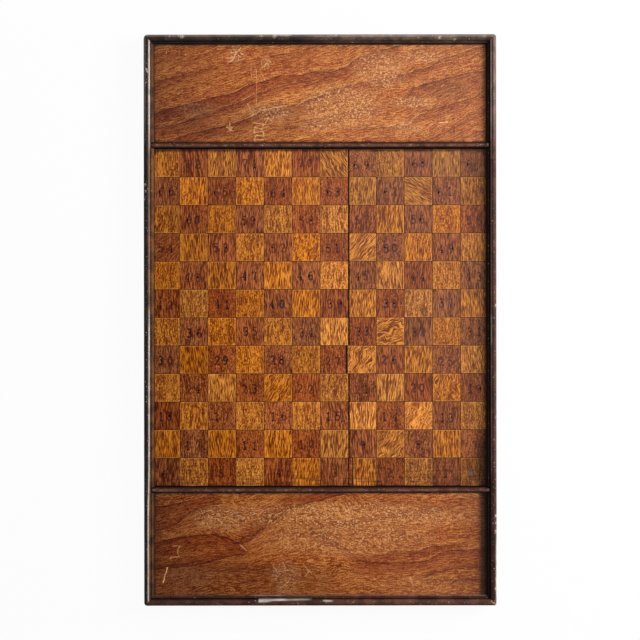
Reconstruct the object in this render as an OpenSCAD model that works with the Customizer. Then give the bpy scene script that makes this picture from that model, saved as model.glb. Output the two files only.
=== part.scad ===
// Draughts board of twelve by twelve oak squares, with a tray for captured pieces at each end.
// X runs across the board, Y towards its top end, Z up. The origin is the middle of the underside.

/* [Playing field] */
// Squares in a row, and rows of squares
squares = 12; // [8:2:12]
// Distance from one square to the next
square_pitch = 35; // [30:0.5:40]
// Thickness of the squares and of the tray floors
square_t = 6.4; // [4:0.1:10]
// Width of the glued joint between two squares
square_joint = 0.4; // [0.1:0.1:0.8]

/* [Open joint] */
// Column whose joint on the right has opened as the wood shrank
open_column = 7; // [2:1:7]
// Width of the open joint
open_joint = 1.9; // [0.5:0.1:3]
// Distance of the open joint's middle to the right of the column's true line
open_joint_shift = 0.7; // [0:0.1:2]
// Row whose square stops short of the open joint
short_square_row = 8; // [1:1:8]
// Amount by which that square is short
short_square_by = 3.7; // [0:0.1:8]
// Width of the strip let into the open joint of the bottom row
filler_w = 3.8; // [1:0.1:8]
// Gap that is left on each side of the strip
filler_gap = 1.3; // [0.2:0.1:3]

/* [Trays] */
// Clear length of the tray at the top end
top_tray_l = 120.9; // [60:0.1:200]
// Clear length of the tray at the bottom end
bottom_tray_l = 127.3; // [60:0.1:200]

/* [Dividers] */
// Width of the half-round bead between field and tray
divider_w = 7.5; // [7.4:0.1:12]
// Height of the bead over the field
divider_h = 3.6; // [2:0.1:3.7]
// Open joint between the field and the bead
divider_gap = 0.9; // [0.2:0.1:3]
// Distance that the bead's ends run into the rails, past the outer edges of the squares
divider_lap = 0.7; // [0.1:0.1:0.7]

/* [Frame moulding] */
// Width of the moulding, seen from above
rail_w = 12.2; // [11:0.1:20]
// Width of the lip that laps over the squares and tray floors
lip_w = 3.2; // [1:0.1:5]
// Height of the rim over the field
rim_h = 9.5; // [7:0.1:16]
// Width of the large bead along the outside
large_bead_w = 8.2; // [6:0.1:8.4]
// Width of the quirk, the groove between the two beads
quirk_w = 0.4; // [0.2:0.1:0.6]
// Width of the small bead beside it
small_bead_w = 2.1; // [1:0.1:2.2]
// Upright edge of the lip, where the moulding meets the field
sight_edge_h = 0.8; // [0.4:0.1:1.5]
// Depth of the hollow between the small bead and the sight edge
hollow_depth = 0.45; // [0.1:0.05:0.8]
// Rounding of the frame's four corners
corner_r = 2.5; // [0.5:0.1:4]
// Width of the glue line in each mitre
mitre_gap = 0.1; // [0.05:0.05:0.3]

/* [Base] */
// Thickness of the panel that carries the squares and tray floors
base_t = 9.5; // [6:0.1:16]
// Clearance round the panel, under the lip and round the ends of the dividers
fit_gap = 0.1; // [0.05:0.05:0.15]

/* [Brads] */
// Diameter of the brads that hold the frame
frame_brad_d = 1.4; // [1:0.1:2.2]
// Diameter of their heads
frame_brad_head_d = 2.6; // [2.4:0.1:4]
// Thickness of their heads
frame_brad_head_t = 0.7; // [0.4:0.1:1.2]
// Length of the brads through the rails into the panel
rail_brad_l = 22; // [16:1:30]
// Length of the brads through the mitres
mitre_brad_l = 18; // [12:1:30]
// Distance between the two brads of a mitre
mitre_brad_rise = 8; // [6:0.5:9]
// Number of brads in each side rail
side_rail_brads = 6; // [3:1:10]
// Number of brads in each end rail
end_rail_brads = 4; // [2:1:6]
// Distance from a corner of the frame to the nearest rail brad
rail_brad_margin = 55; // [30:1:100]
// Diameter of the brads in the dividers
divider_brad_d = 1.2; // [0.8:0.1:2]
// Length of the brads in the dividers
divider_brad_l = 13; // [11:0.5:15]
// Number of brads in each divider
divider_brad_count = 4; // [2:1:6]
// Distance from the end of a divider to its nearest brad
divider_brad_margin = 36; // [15:1:80]
// Clearance all round a brad in its hole
brad_gap = 0.02; // [0.01:0.01:0.05]

/* [Hidden] */
$fn = 64;
field_w = squares * square_pitch;
field_z = base_t + square_t;
rail_body_w = rail_w - lip_w;
board_w = field_w + 2 * rail_body_w;
clear_w = board_w - 2 * rail_w;
divider_depth = divider_gap + divider_w;
board_l = field_w + top_tray_l + bottom_tray_l + 2 * (divider_depth + rail_w);
field_top = board_l / 2 - rail_w - top_tray_l - divider_depth;
field_bottom = field_top - field_w;

lip_z = field_z + fit_gap;
sight_z = lip_z + sight_edge_h;
crown_z = field_z + rim_h;
large_bead_r = large_bead_w / 2;
small_bead_r = small_bead_w / 2;
spring_z = crown_z - large_bead_r;
small_bead_centre = [large_bead_w + quirk_w + small_bead_r, spring_z - small_bead_r];
// Where the hollow runs into the small bead, in radii from the bead's centre
hollow_root = [0.7, -0.5];

// The dividers run on to the large bead, in housings cut through the small bead and the lip
divider_l = field_w + 2 * divider_lap;
top_divider_y = field_top + divider_gap + divider_w / 2;
bottom_divider_y = field_bottom - divider_gap - divider_w / 2;

rail_brad_z = base_t / 2;

// Names of the row nodes, such as row_03_light
tones = ["light", "dark"];
function row_name(row, tone) = str("row_", row < 10 ? "0" : "", row, "_", tone);
row_nodes = [for (row = [1 : squares]) for (tone = tones) row_name(row, tone)];

// The line on the left of a column and on the top of a row
function column_line(column) = (column - 1 - squares / 2) * square_pitch;
function row_line(row) = field_top - (row - 1) * square_pitch;

// The open joint's two sides, which differ in the short square's row and in the bottom row
open_line = column_line(open_column + 1) + open_joint_shift;
filler_x = open_line - open_joint / 2 + filler_gap;
function open_left(row) = open_line - open_joint / 2 - (row == short_square_row ? short_square_by : 0);
function open_right(row) = row == squares ? filler_x + filler_w + filler_gap : open_line + open_joint / 2;

// The left and right edges of a square
function left_edge(row, column) =
  column == open_column + 1 ? open_right(row) : column_line(column) + square_joint / 2;
function right_edge(row, column) =
  column == open_column ? open_left(row) : column_line(column + 1) - square_joint / 2;

// Radius and centre of the circle whose arc from a to b sags by a depth, with its centre on the left
function sag_r(a, b, depth) = (pow(norm(b - a) / 2, 2) + depth * depth) / (2 * depth);
function sag_centre(a, b, depth) =
  let (along = (b - a) / norm(b - a))
  (a + b) / 2 + (sag_r(a, b, depth) - depth) * [-along.y, along.x];

// The sections below are those of the frame moulding: X inwards from the outer face, Y up
module stem_section() {
  polygon([
    [0, 0],
    [rail_body_w, 0],
    [rail_body_w, sight_z],
    [large_bead_w, sight_z],
    [large_bead_w, spring_z],
    [0, spring_z]
  ]);
}

module bead_section(centre, r) {
  translate(centre) circle(r = r);
}

// The part under the quirk, the small bead and the hollow, down to the sight edge
module hollow_section(start, end) {
  difference() {
    polygon([[0, lip_z], [0, start.y], start, end, [end.x, lip_z]]);
    translate(sag_centre(start, end, hollow_depth)) circle(r = sag_r(start, end, hollow_depth));
  }
}

// Length of moulding in a rail's own frame: X along the rail, Y inwards from its outer face, Z up
module moulding(length) {
  rotate([90, 0, 90]) {
    linear_extrude(length, center = true) stem_section();
    linear_extrude(length, center = true) bead_section([large_bead_r, spring_z], large_bead_r);
    linear_extrude(length, center = true) bead_section(small_bead_centre, small_bead_r);
    linear_extrude(length, center = true)
      hollow_section(small_bead_centre + hollow_root * small_bead_r, [rail_w, sight_z]);
  }
}

// Each module puts its children into the frame of one rail
module on_left() {
  translate([-board_w / 2, 0, 0]) rotate([0, 0, -90]) children();
}

module on_right() {
  translate([board_w / 2, 0, 0]) rotate([0, 0, 90]) children();
}

module on_top() {
  translate([0, board_l / 2, 0]) rotate([0, 0, 180]) children();
}

module on_bottom() {
  translate([0, -board_l / 2, 0]) children();
}

// Rectangle with rounded corners, centred on the origin
module rounded_rectangle(size, r) {
  square([size.x - 2 * r, size.y], center = true);
  square([size.x, size.y - 2 * r], center = true);
  for (x = [-1, 1], y = [-1, 1])
    translate([x * (size.x / 2 - r), y * (size.y / 2 - r)]) circle(r = r);
}

// Outline of a mitred rail seen from above, in the rail's own frame
module mitred_plan(length) {
  glue = mitre_gap / 2 * sqrt(2);
  outer = length / 2 - glue;
  inner = outer - rail_w;
  polygon([[-outer, 0], [outer, 0], [inner, rail_w], [-inner, rail_w]]);
}

// One mitred rail in its own frame
module mitred_rail(length) {
  intersection() {
    moulding(length);
    linear_extrude(crown_z) mitred_plan(length);
  }
}

// Cuts the frame's rounded corners, the housings for the dividers and the holes for its brads
module finish_rail() {
  difference() {
    intersection() {
      children();
      linear_extrude(crown_z) rounded_rectangle([board_w, board_l], corner_r);
    }
    divider_housing(top_divider_y);
    divider_housing(bottom_divider_y);
    at_rail_brads() frame_brad(rail_brad_l, brad_gap);
    at_mitre_brads() frame_brad(mitre_brad_l, brad_gap);
  }
}

// Room for both ends of the divider with its middle at the given Y
module divider_housing(y) {
  length = divider_l + 2 * fit_gap;
  width = divider_w + 2 * fit_gap;
  translate([-length / 2, y - width / 2, field_z]) cube([length, width, crown_z]);
}

// A brad driven along Y from the outer face of a rail, grown by a gap where it stands for its hole
module frame_brad(length, gap = 0) {
  rotate([-90, 0, 0]) {
    cylinder(d = frame_brad_d + 2 * gap, h = length + gap);
    cylinder(d = frame_brad_head_d + 2 * gap, h = frame_brad_head_t + gap);
  }
}

// A headless brad driven down from the crown of a divider, grown by a gap where it stands for its hole
module divider_brad(gap = 0) {
  translate([0, 0, field_z + divider_h - divider_brad_l - gap])
    cylinder(d = divider_brad_d + 2 * gap, h = divider_brad_l + gap);
}

// Spaces its children evenly along X, with a margin at both ends of the length
module along_x(count, length, margin) {
  for (i = [0 : count - 1])
    translate([(i / (count - 1) - 0.5) * (length - 2 * margin), 0, 0]) children();
}

module at_rail_brads() {
  on_left() along_x(side_rail_brads, board_l, rail_brad_margin) translate([0, 0, rail_brad_z]) children();
  on_right() along_x(side_rail_brads, board_l, rail_brad_margin) translate([0, 0, rail_brad_z]) children();
  on_top() along_x(end_rail_brads, board_w, rail_brad_margin) translate([0, 0, rail_brad_z]) children();
  on_bottom() along_x(end_rail_brads, board_w, rail_brad_margin) translate([0, 0, rail_brad_z]) children();
}

// Two brads above one another in each mitre, along the middle of the side rails
module at_mitre_brads() {
  for (z = [rail_brad_z, rail_brad_z + mitre_brad_rise]) {
    on_top() along_x(2, board_w, rail_body_w / 2) translate([0, 0, z]) children();
    on_bottom() along_x(2, board_w, rail_body_w / 2) translate([0, 0, z]) children();
  }
}

module at_divider_brads() {
  for (y = [top_divider_y, bottom_divider_y])
    translate([0, y, 0]) along_x(divider_brad_count, clear_w, divider_brad_margin) children();
}

// Half-round section of a divider, standing on the X axis
module divider_section() {
  r = (divider_w * divider_w / 4 + divider_h * divider_h) / (2 * divider_h);
  intersection() {
    translate([0, divider_h - r]) circle(r = r);
    translate([-divider_w / 2, 0]) square([divider_w, divider_h]);
  }
}

// A divider with its middle at the given Y
module divider(y) {
  difference() {
    translate([0, y, field_z])
      rotate([90, 0, 90])
        linear_extrude(divider_l, center = true)
          divider_section();
    at_divider_brads() divider_brad(brad_gap);
  }
}

// A board between two Y values on the base panel, with holes for the divider brads
module tray_floor(y_low, y_high) {
  difference() {
    translate([-field_w / 2 + fit_gap, y_low, base_t])
      cube([field_w - 2 * fit_gap, y_high - y_low, square_t]);
    at_divider_brads() divider_brad(brad_gap);
  }
}

// The light or the dark squares of one row
module row_squares(row, tone) {
  color(tone == "light" ? "#C8843C" : "#7B4128")
    for (column = [1 : squares])
      if (tones[(row + column) % 2] == tone)
        translate([left_edge(row, column), row_line(row + 1) + square_joint / 2, base_t])
          cube([right_edge(row, column) - left_edge(row, column), square_pitch - square_joint, square_t]);
}

module base_panel() {
  width = field_w - 2 * fit_gap;
  length = board_l - 2 * (rail_body_w + fit_gap);
  color("#B98F5E")
    difference() {
      translate([-width / 2, -length / 2, 0]) cube([width, length, base_t]);
      at_rail_brads() frame_brad(rail_brad_l, brad_gap);
      at_divider_brads() divider_brad(brad_gap);
    }
}

module top_tray_floor() {
  color("#A9683F") tray_floor(field_top + divider_gap, board_l / 2 - rail_body_w - fit_gap);
}

module bottom_tray_floor() {
  color("#94542F") tray_floor(-board_l / 2 + rail_body_w + fit_gap, field_bottom - divider_gap);
}

module left_rail() {
  color("#241A17") finish_rail() on_left() mitred_rail(board_l);
}

module right_rail() {
  color("#241A17") finish_rail() on_right() mitred_rail(board_l);
}

module top_rail() {
  color("#2C201C") finish_rail() on_top() mitred_rail(board_w);
}

module bottom_rail() {
  color("#2C201C") finish_rail() on_bottom() mitred_rail(board_w);
}

module top_divider() {
  color("#3A2620") divider(top_divider_y);
}

module bottom_divider() {
  color("#3A2620") divider(bottom_divider_y);
}

module filler_strip() {
  color("#6B3A26")
    translate([filler_x, field_bottom + square_joint / 2, base_t])
      cube([filler_w, square_pitch - square_joint, square_t]);
}

module rail_brads() {
  color("#5A514B") at_rail_brads() frame_brad(rail_brad_l);
}

module mitre_brads() {
  color("#5A514B") at_mitre_brads() frame_brad(mitre_brad_l);
}

module divider_brads() {
  color("#5A514B") at_divider_brads() divider_brad();
}

base_panel();
top_tray_floor();
bottom_tray_floor();
left_rail();
right_rail();
top_rail();
bottom_rail();
top_divider();
bottom_divider();
filler_strip();
rail_brads();
mitre_brads();
divider_brads();
for (row = [1 : squares])
  for (tone = tones)
    row_squares(row, tone);
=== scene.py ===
"""Looks, light and camera for a draughts board of twelve by twelve oak squares with a tray at each end.
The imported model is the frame; every piece below stands in its place. Lengths are in millimetres and become
metres where a mesh is made. X runs across the board, Y towards its top end, Z up.
"""
import math
import random

import bmesh
import bpy
import numpy as np
from mathutils import Matrix, Quaternion, Vector, noise


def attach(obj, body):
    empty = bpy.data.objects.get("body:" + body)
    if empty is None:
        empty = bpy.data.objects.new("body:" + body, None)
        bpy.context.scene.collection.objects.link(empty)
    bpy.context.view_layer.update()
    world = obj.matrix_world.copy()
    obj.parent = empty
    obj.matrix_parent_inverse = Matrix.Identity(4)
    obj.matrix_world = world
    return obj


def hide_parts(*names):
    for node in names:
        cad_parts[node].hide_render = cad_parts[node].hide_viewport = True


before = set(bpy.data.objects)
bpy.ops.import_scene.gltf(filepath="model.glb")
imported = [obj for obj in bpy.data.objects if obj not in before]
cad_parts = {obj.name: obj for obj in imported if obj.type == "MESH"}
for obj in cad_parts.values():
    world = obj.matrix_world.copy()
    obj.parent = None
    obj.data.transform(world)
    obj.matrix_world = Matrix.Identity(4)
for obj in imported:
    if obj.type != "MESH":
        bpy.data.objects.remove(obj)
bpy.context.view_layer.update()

# Sizes of the board, the same as in the CAD model
MM = 0.001
SQUARES = 12
PITCH = 35.0
SQUARE_THICKNESS = 6.4
SQUARE_JOINT = 0.4
BOARD_WIDTH = 438.0
BOARD_LENGTH = 709.4
FIELD_TOP = 213.2
FIELD_BOTTOM = -206.8
FIELD_Z = 15.9
BASE_TOP = 9.5
CLEAR_HALF_WIDTH = 206.8
TRAY_FLOOR_HALF_WIDTH = 209.9
# The gap between the field and a tray floor, under the divider, and the room left beyond the floor
TRAY_FLOOR_GAP = 0.9
TRAY_FLOOR_FROM_END = 9.1
TOP_DIVIDER_Y = 217.85
BOTTOM_DIVIDER_Y = -211.45
DIVIDER_WIDTH = 7.5
DIVIDER_HEIGHT = 3.6
DIVIDER_HALF_LENGTH = 210.7

# Edges of the squares and of the strip beside the open joint, which do not follow the pitch
OPEN_COLUMN = 7
OPEN_LEFT = 34.75
OPEN_RIGHT = 36.65
SHORT_ROW = 8
SHORT_ROW_LEFT = 31.6
SHORT_ROW_RIGHT = 34.2
FILLER_LEFT = 36.05
FILLER_RIGHT = 39.85
LAST_ROW_RIGHT = 41.15

# Section of the frame moulding
RAIL_WIDTH = 12.2
REBATE_WIDTH = 9.0
LIP_Z = 16.0
SIGHT_Z = 16.8
LARGE_BEAD_RADIUS = 4.1
SPRING_Z = 21.3
SMALL_BEAD_RADIUS = 1.05
SMALL_BEAD_U = 9.65
SMALL_BEAD_Z = 20.25
QUIRK_U = 8.7
QUIRK_Z = 19.7
HOLLOW_DEPTH = 0.45
MITRE_GLUE = 0.07

# The first number of each row counts down from the number of dark squares
DARK_SQUARES = SQUARES * SQUARES // 2


# Making meshes

# Points closer together than this are merged
MERGE_DISTANCE = 0.002
# How far apart the patterns of noise lie that two neighbouring seeds take
SEED_STEP = 7.3


def link(name, mesh):
    """A new object that shows the mesh."""
    piece = bpy.data.objects.new(name, mesh)
    bpy.context.scene.collection.objects.link(piece)
    return piece


def clean(mesh, sharp):
    """Merges doubled points, turns the faces outwards and smooths them where they bend less than sharp."""
    work = bmesh.new()
    work.from_mesh(mesh)
    bmesh.ops.remove_doubles(work, verts=work.verts, dist=MERGE_DISTANCE * MM)
    bmesh.ops.recalc_face_normals(work, faces=work.faces)
    work.to_mesh(mesh)
    work.free()
    mesh.polygons.foreach_set("use_smooth", [True] * len(mesh.polygons))
    mesh.set_sharp_from_angle(angle=math.radians(sharp))
    mesh.update()


def give_values(mesh, values):
    """Gives a mesh named values, one for each of its points."""
    for name, numbers in values.items():
        layer = mesh.attributes.new(name, "FLOAT", "POINT")
        layer.data.foreach_set("value", np.ravel(numbers).astype(np.float32))


def skin(name, rings, values):
    """Closed mesh over a row of rings of points in millimetres, with one named value for each point."""
    count, around = rings.shape[:2]
    faces = []
    for i in range(count - 1):
        for j in range(around):
            k = (j + 1) % around
            faces.append((i * around + j, (i + 1) * around + j, (i + 1) * around + k, i * around + k))
    faces.append(list(range(around)))
    faces.append(list(range((count - 1) * around, count * around)))
    mesh = bpy.data.meshes.new(name)
    mesh.from_pydata((rings.reshape(-1, 3) * MM).tolist(), [], faces)
    give_values(mesh, values)
    return mesh


def grow(name, tree, mesh=None, **inputs):
    """Runs a Geometry Nodes tree with the named inputs and keeps what it makes as a plain mesh."""
    holder = link(name, mesh or bpy.data.meshes.new(name))
    modifier = holder.modifiers.new("tree", "NODES")
    modifier.node_group = tree
    for socket in tree.interface.items_tree:
        if socket.in_out == "INPUT" and socket.name in inputs:
            modifier[socket.identifier] = inputs[socket.name]
    evaluated = holder.evaluated_get(bpy.context.evaluated_depsgraph_get())
    made = bpy.data.meshes.new_from_object(evaluated)
    bpy.data.objects.remove(holder)
    made.name = name
    return link(name, made)


def add(tree, kind, inputs=(), **settings):
    """Adds a node with its settings, and sets or links its inputs, given in order or by name."""
    node = tree.nodes.new(kind)
    for key, value in settings.items():
        setattr(node, key, value)
    named = inputs if isinstance(inputs, dict) else dict(enumerate(inputs))
    for key, value in named.items():
        sockets = [s for s in node.inputs if s.enabled]
        socket = sockets[key] if isinstance(key, int) else next(s for s in sockets if s.name == key)
        if isinstance(value, bpy.types.Node):
            value = next(s for s in value.outputs if s.enabled)
        if isinstance(value, bpy.types.NodeSocket):
            tree.links.new(value, socket)
        else:
            socket.default_value = value
    return node


def smooth_noise(x, y, size, seed):
    """Noise from -1 to 1 with lumps of about the given size, for arrays of places in millimetres."""
    places = zip(np.ravel(x), np.ravel(y))
    flat = [noise.noise(Vector((a / size, b / size, seed * SEED_STEP))) for a, b in places]
    return np.array(flat).reshape(np.shape(x))


def from_table(x, table):
    """The amount that a table of places and amounts gives for each x."""
    places, amounts = zip(*table)
    return np.interp(x, places, amounts)


# Shared parts of the materials

# Kinds of node, and settings of them, that are used often. A map range takes a value, the two levels that
# it lies between and what these become, which is 0 and 1 where nothing is given.
ATTRIBUTE = "ShaderNodeAttribute"
BUMP = "ShaderNodeBump"
COMBINE = "ShaderNodeCombineXYZ"
MAP_RANGE = "ShaderNodeMapRange"
MATH = "ShaderNodeMath"
MIX = "ShaderNodeMix"
RAMP = "ShaderNodeValToRGB"
SEPARATE = "ShaderNodeSeparateXYZ"
VECTOR_MATH = "ShaderNodeVectorMath"
COLOUR_MIX = {"data_type": "RGBA", "clamp_factor": True}
SOFT_STEP = {"interpolation_type": "SMOOTHSTEP"}


def colour(text):
    """An sRGB hex colour as the linear values that the shaders take."""
    parts = [int(text[i:i + 2], 16) / 255 for i in (1, 3, 5)]
    linear = [part / 12.92 if part <= 0.04045 else ((part + 0.055) / 1.055) ** 2.4 for part in parts]
    return (*linear, 1.0)


def new_material(name):
    """An empty material and its tree."""
    material = bpy.data.materials.new(name)
    material.use_nodes = True
    material.node_tree.nodes.clear()
    return material, material.node_tree


def set_surface(tree, inputs):
    """Adds the shader with the given inputs as the surface of the material."""
    shader = add(tree, "ShaderNodeBsdfPrincipled", inputs)
    add(tree, "ShaderNodeOutputMaterial", {"Surface": shader})


def lay_over(tree, base, layers):
    """Lays colours over a base one after another, each as strongly as its share says."""
    for share, shade in layers:
        base = add(tree, MIX, {"Factor": share, "A": base, "B": colour(shade)}, **COLOUR_MIX)
    return base


def set_stops(ramp, *stops):
    """Sets the places and colours along a ramp, from low to high."""
    elements = ramp.color_ramp.elements
    while len(elements) < len(stops):
        elements.new(0.5)
    for element, (place, shade) in zip(elements, stops):
        element.position = place
        element.color = colour(shade)


def place_in_mm(tree):
    """Object coordinates in millimetres."""
    place = add(tree, "ShaderNodeTexCoord").outputs["Object"]
    return add(tree, VECTOR_MATH, {"Vector": place, "Scale": 1000.0}, operation="SCALE")


def stretched_noise(tree, place, size, detail=2.0, shift=0.0):
    """A pattern of lumps that have the given size in millimetres along each axis."""
    inputs = [place, tuple(1.0 / s for s in size), (shift, shift, shift)]
    scaled = add(tree, VECTOR_MATH, inputs, operation="MULTIPLY_ADD")
    return add(tree, "ShaderNodeTexNoise", {"Vector": scaled, "Scale": 1.0, "Detail": detail}).outputs["Fac"]


def frame_grime(tree, place, low_y, high_y, right_share):
    """Dirt and painted shade where a floor meets the frame and the dividers, thickest in the corners
    and thin along the left rail. A fainter painted shadow reaches in from the right rail, farther for a lower
    right_share."""
    parts = add(tree, SEPARATE, [place]).outputs
    to_left = add(tree, MATH, [parts["X"], CLEAR_HALF_WIDTH], operation="ADD")
    from_left = add(tree, MATH, [to_left, 1.8, 0.6], operation="MULTIPLY_ADD")
    to_right = add(tree, MATH, [CLEAR_HALF_WIDTH, parts["X"]], operation="SUBTRACT")
    from_right = add(tree, MATH, [to_right, right_share], operation="MULTIPLY")
    from_top = add(tree, MATH, [high_y, parts["Y"]], operation="SUBTRACT")
    from_bottom = add(tree, MATH, [parts["Y"], low_y], operation="SUBTRACT")
    from_side = add(tree, MATH, [from_left, from_right], operation="MINIMUM")
    from_end = add(tree, MATH, [from_top, from_bottom], operation="MINIMUM")
    nearest = add(tree, MATH, [from_side, from_end, 16.0], operation="SMOOTH_MIN")
    ragged = stretched_noise(tree, place, (8.0, 8.0, 8.0), detail=4.0)
    spread = add(tree, MATH, [ragged, -5.0, nearest], operation="MULTIPLY_ADD")
    thick = add(tree, MAP_RANGE, [spread, -2.6, 1.4, 1.0, 0.0], **SOFT_STEP)
    faint = add(tree, MAP_RANGE, [from_right, -6.0, 36.0, 0.5, 0.0], **SOFT_STEP)
    return add(tree, MATH, [thick, faint], operation="MAXIMUM")


def bloom_of_old_wax(tree, place, base):
    """A painted sheen of reflected light: the colour turns paler and hazy towards the right and the top end.
    """
    parts = add(tree, SEPARATE, [place]).outputs
    across = add(tree, MAP_RANGE, [parts["X"], -210.0, 210.0], **SOFT_STEP)
    along = add(tree, MAP_RANGE, [parts["Y"], -340.0, 340.0], **SOFT_STEP)
    both = add(tree, MATH, [across, 1.2, along], operation="MULTIPLY_ADD")
    sheen_share = add(tree, MAP_RANGE, [both, 0.5, 2.2, 0.0, 0.068])
    return add(tree, MIX, {"Factor": sheen_share, "A": base, "B": colour("#E0CDBE")}, **COLOUR_MIX)


# Materials

# Where a drop of something grey has dried on the last square
GREY_SPOT = (187.0, -192.0, FIELD_Z)
# The dark patch of dirt and painted shadow at the right rail: where it is darkest, and how far it
# reaches to the left and upwards
DARK_CORNER = (207.0, -170.0)
DARK_CORNER_REACH = (19.0, 48.0)
# Colours of the flesh, the flecks and the pores of the light and of the dark squares
LIGHT_OAK = ("#A85806", "#EA9430", "#6C2800")
DARK_OAK = ("#8C400E", "#BC6A34", "#541C00")
# Lines across each floor, low and high Y, along which its dirt and painted shade are thickest
FIELD_DIRT_AND_SHADE = (FIELD_BOTTOM - 1.4, FIELD_TOP - 1.2)
TOP_TRAY_DIRT_AND_SHADE = (TOP_DIVIDER_Y + 3.0, 346.0)
BOTTOM_TRAY_DIRT_AND_SHADE = (-347.5, BOTTOM_DIVIDER_Y - 3.0)


def oak_figure(tree):
    """Grain coordinates of a square in millimetres: X across its grain, Y along it, wavering a little."""
    place = place_in_mm(tree)
    turn = add(tree, ATTRIBUTE, attribute_name="grain_turn").outputs["Fac"]
    shift = add(tree, ATTRIBUTE, attribute_name="grain_shift").outputs["Vector"]
    swirl = add(tree, ATTRIBUTE, attribute_name="grain_swirl").outputs["Fac"]
    turned = add(tree, "ShaderNodeVectorRotate", {"Vector": place, "Angle": turn}, rotation_type="Z_AXIS")
    shifted = add(tree, VECTOR_MATH, [turned, shift], operation="ADD")
    waver = add(tree, "ShaderNodeTexNoise", {"Vector": shifted, "Scale": 0.09, "Detail": 1.0})
    half = (0.5, 0.5, 0.5)
    centred = add(tree, VECTOR_MATH, [waver.outputs["Color"], half], operation="SUBTRACT")
    pushed = add(tree, VECTOR_MATH, {"Vector": centred, "Scale": swirl}, operation="SCALE")
    return place, add(tree, VECTOR_MATH, [shifted, pushed], operation="ADD")


def oak_colour(tree, figure, flesh, fleck, pore):
    """Colour and height of plain-sawn oak: fibres in long stripes or short flecks by the square, open pores,
    and broad bands of growth. Real fibres are finer; these are as coarse as they need to be to show."""
    kind = stretched_noise(tree, figure, (130.0, 130.0, 130.0), detail=0.0, shift=31.0)
    speckled = add(tree, MAP_RANGE, [kind, 0.42, 0.58, 0.05, 0.5], **SOFT_STEP)
    stripes = stretched_noise(tree, figure, (0.85, 10.0, 20.0), detail=1.0, shift=5.0)
    flecks = stretched_noise(tree, figure, (0.9, 2.6, 20.0), detail=1.0, shift=7.0)
    fibres = add(tree, MIX, {"Factor": speckled, "A": stripes, "B": flecks})
    bands = stretched_noise(tree, figure, (6.0, 90.0, 90.0))
    banded = add(tree, MATH, [bands, 0.2, fibres], operation="MULTIPLY_ADD")
    grained = add(tree, RAMP, {"Fac": banded})
    set_stops(grained, (0.505, pore), (0.6, flesh), (0.695, fleck))
    pores = stretched_noise(tree, figure, (0.9, 8.0, 20.0), detail=1.0, shift=11.0)
    opened = add(tree, MAP_RANGE, [pores, 0.6, 0.7, 0.0, 0.75], **SOFT_STEP)
    pored = add(tree, MIX, {"Factor": opened, "A": grained, "B": colour(pore)}, **COLOUR_MIX)
    tone = add(tree, ATTRIBUTE, attribute_name="tone").outputs["Fac"]
    brighter = add(tree, MATH, [tone, 0.17, 1.0], operation="MULTIPLY_ADD")
    toned = add(tree, VECTOR_MATH, {"Vector": pored, "Scale": brighter}, operation="SCALE")
    warmth = add(tree, ATTRIBUTE, attribute_name="warmth").outputs["Fac"]
    hue = add(tree, MATH, [warmth, -0.0035, 0.5], operation="MULTIPLY_ADD")
    strength = add(tree, MATH, [warmth, 0.03, 1.0], operation="MULTIPLY_ADD")
    warmed = add(tree, "ShaderNodeHueSaturation", {"Hue": hue, "Saturation": strength, "Color": toned})
    return warmed, pores


def grey_spot(tree, place):
    """How strongly the dried spot shows, with a blotchy edge."""
    away = add(tree, VECTOR_MATH, [place, GREY_SPOT], operation="DISTANCE").outputs["Value"]
    blots = stretched_noise(tree, place, (3.0, 3.0, 3.0), detail=3.0, shift=27.0)
    uneven = add(tree, MATH, [blots, 12.0, away], operation="MULTIPLY_ADD")
    return add(tree, MAP_RANGE, [uneven, 6.5, 13.0, 0.62, 0.0], **SOFT_STEP)


def smears(tree, place, parts):
    """How strongly the dull smears show that run across the lowest rows."""
    pattern = stretched_noise(tree, place, (30.0, 2.6, 20.0), detail=3.0, shift=37.0)
    smeared = add(tree, MAP_RANGE, [pattern, 0.48, 0.62], **SOFT_STEP)
    low_down = add(tree, MAP_RANGE, [parts["Y"], FIELD_BOTTOM + 4.0, FIELD_BOTTOM + 40.0, 0.6, 0.0])
    return add(tree, MATH, [smeared, low_down], operation="MULTIPLY")


def dark_corner(tree, parts):
    """How strongly the dark patch of dirt and painted shadow at the right rail shows, which fades out
    upwards and to the left.
    """
    (middle_x, middle_y), (reach_x, reach_y) = DARK_CORNER, DARK_CORNER_REACH
    across = add(tree, MAP_RANGE, [parts["X"], middle_x - reach_x, middle_x, -1.0, 0.0])
    along = add(tree, MAP_RANGE, [parts["Y"], middle_y, middle_y + reach_y])
    both = add(tree, COMBINE, {"X": across, "Y": along})
    out = add(tree, VECTOR_MATH, [both], operation="LENGTH").outputs["Value"]
    return add(tree, MAP_RANGE, [out, 0.25, 1.0, 0.7, 0.0], **SOFT_STEP)


def finish_oak(tree, place, base, pores, roughness):
    """Dirt in the joints, dirt and painted shade at the frame, a painted sheen, open pores and a worn
    shellac sheen.
    """
    parts = add(tree, SEPARATE, [place]).outputs
    joint = add(tree, ATTRIBUTE, attribute_name="joint_dirt").outputs["Fac"]
    dirt_and_shade = frame_grime(tree, place, *FIELD_DIRT_AND_SHADE, 0.75)
    # A painted sheen of reflected light goes on first, and the marks below over it
    dirt_sheen_and_shade = lay_over(tree, bloom_of_old_wax(tree, place, base), [
        (grey_spot(tree, place), "#6C625C"),
        (joint, "#5A2206"),
        (smears(tree, place, parts), "#4A1E12"),
        # dirt and painted shadow at the right rail
        (dark_corner(tree, parts), "#1E1612"),
        # dirt and painted shade along the frame and the dividers
        (add(tree, MATH, [dirt_and_shade, 0.8], operation="MULTIPLY"), "#17110F"),
    ])
    bump = add(tree, BUMP, {"Strength": 0.25, "Distance": 0.00015, "Height": pores}, invert=True)
    set_surface(tree, {
        "Base Color": dirt_sheen_and_shade, "Roughness": roughness, "IOR": 1.5, "Specular IOR Level": 0.1, "Normal": bump,
    })


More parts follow.
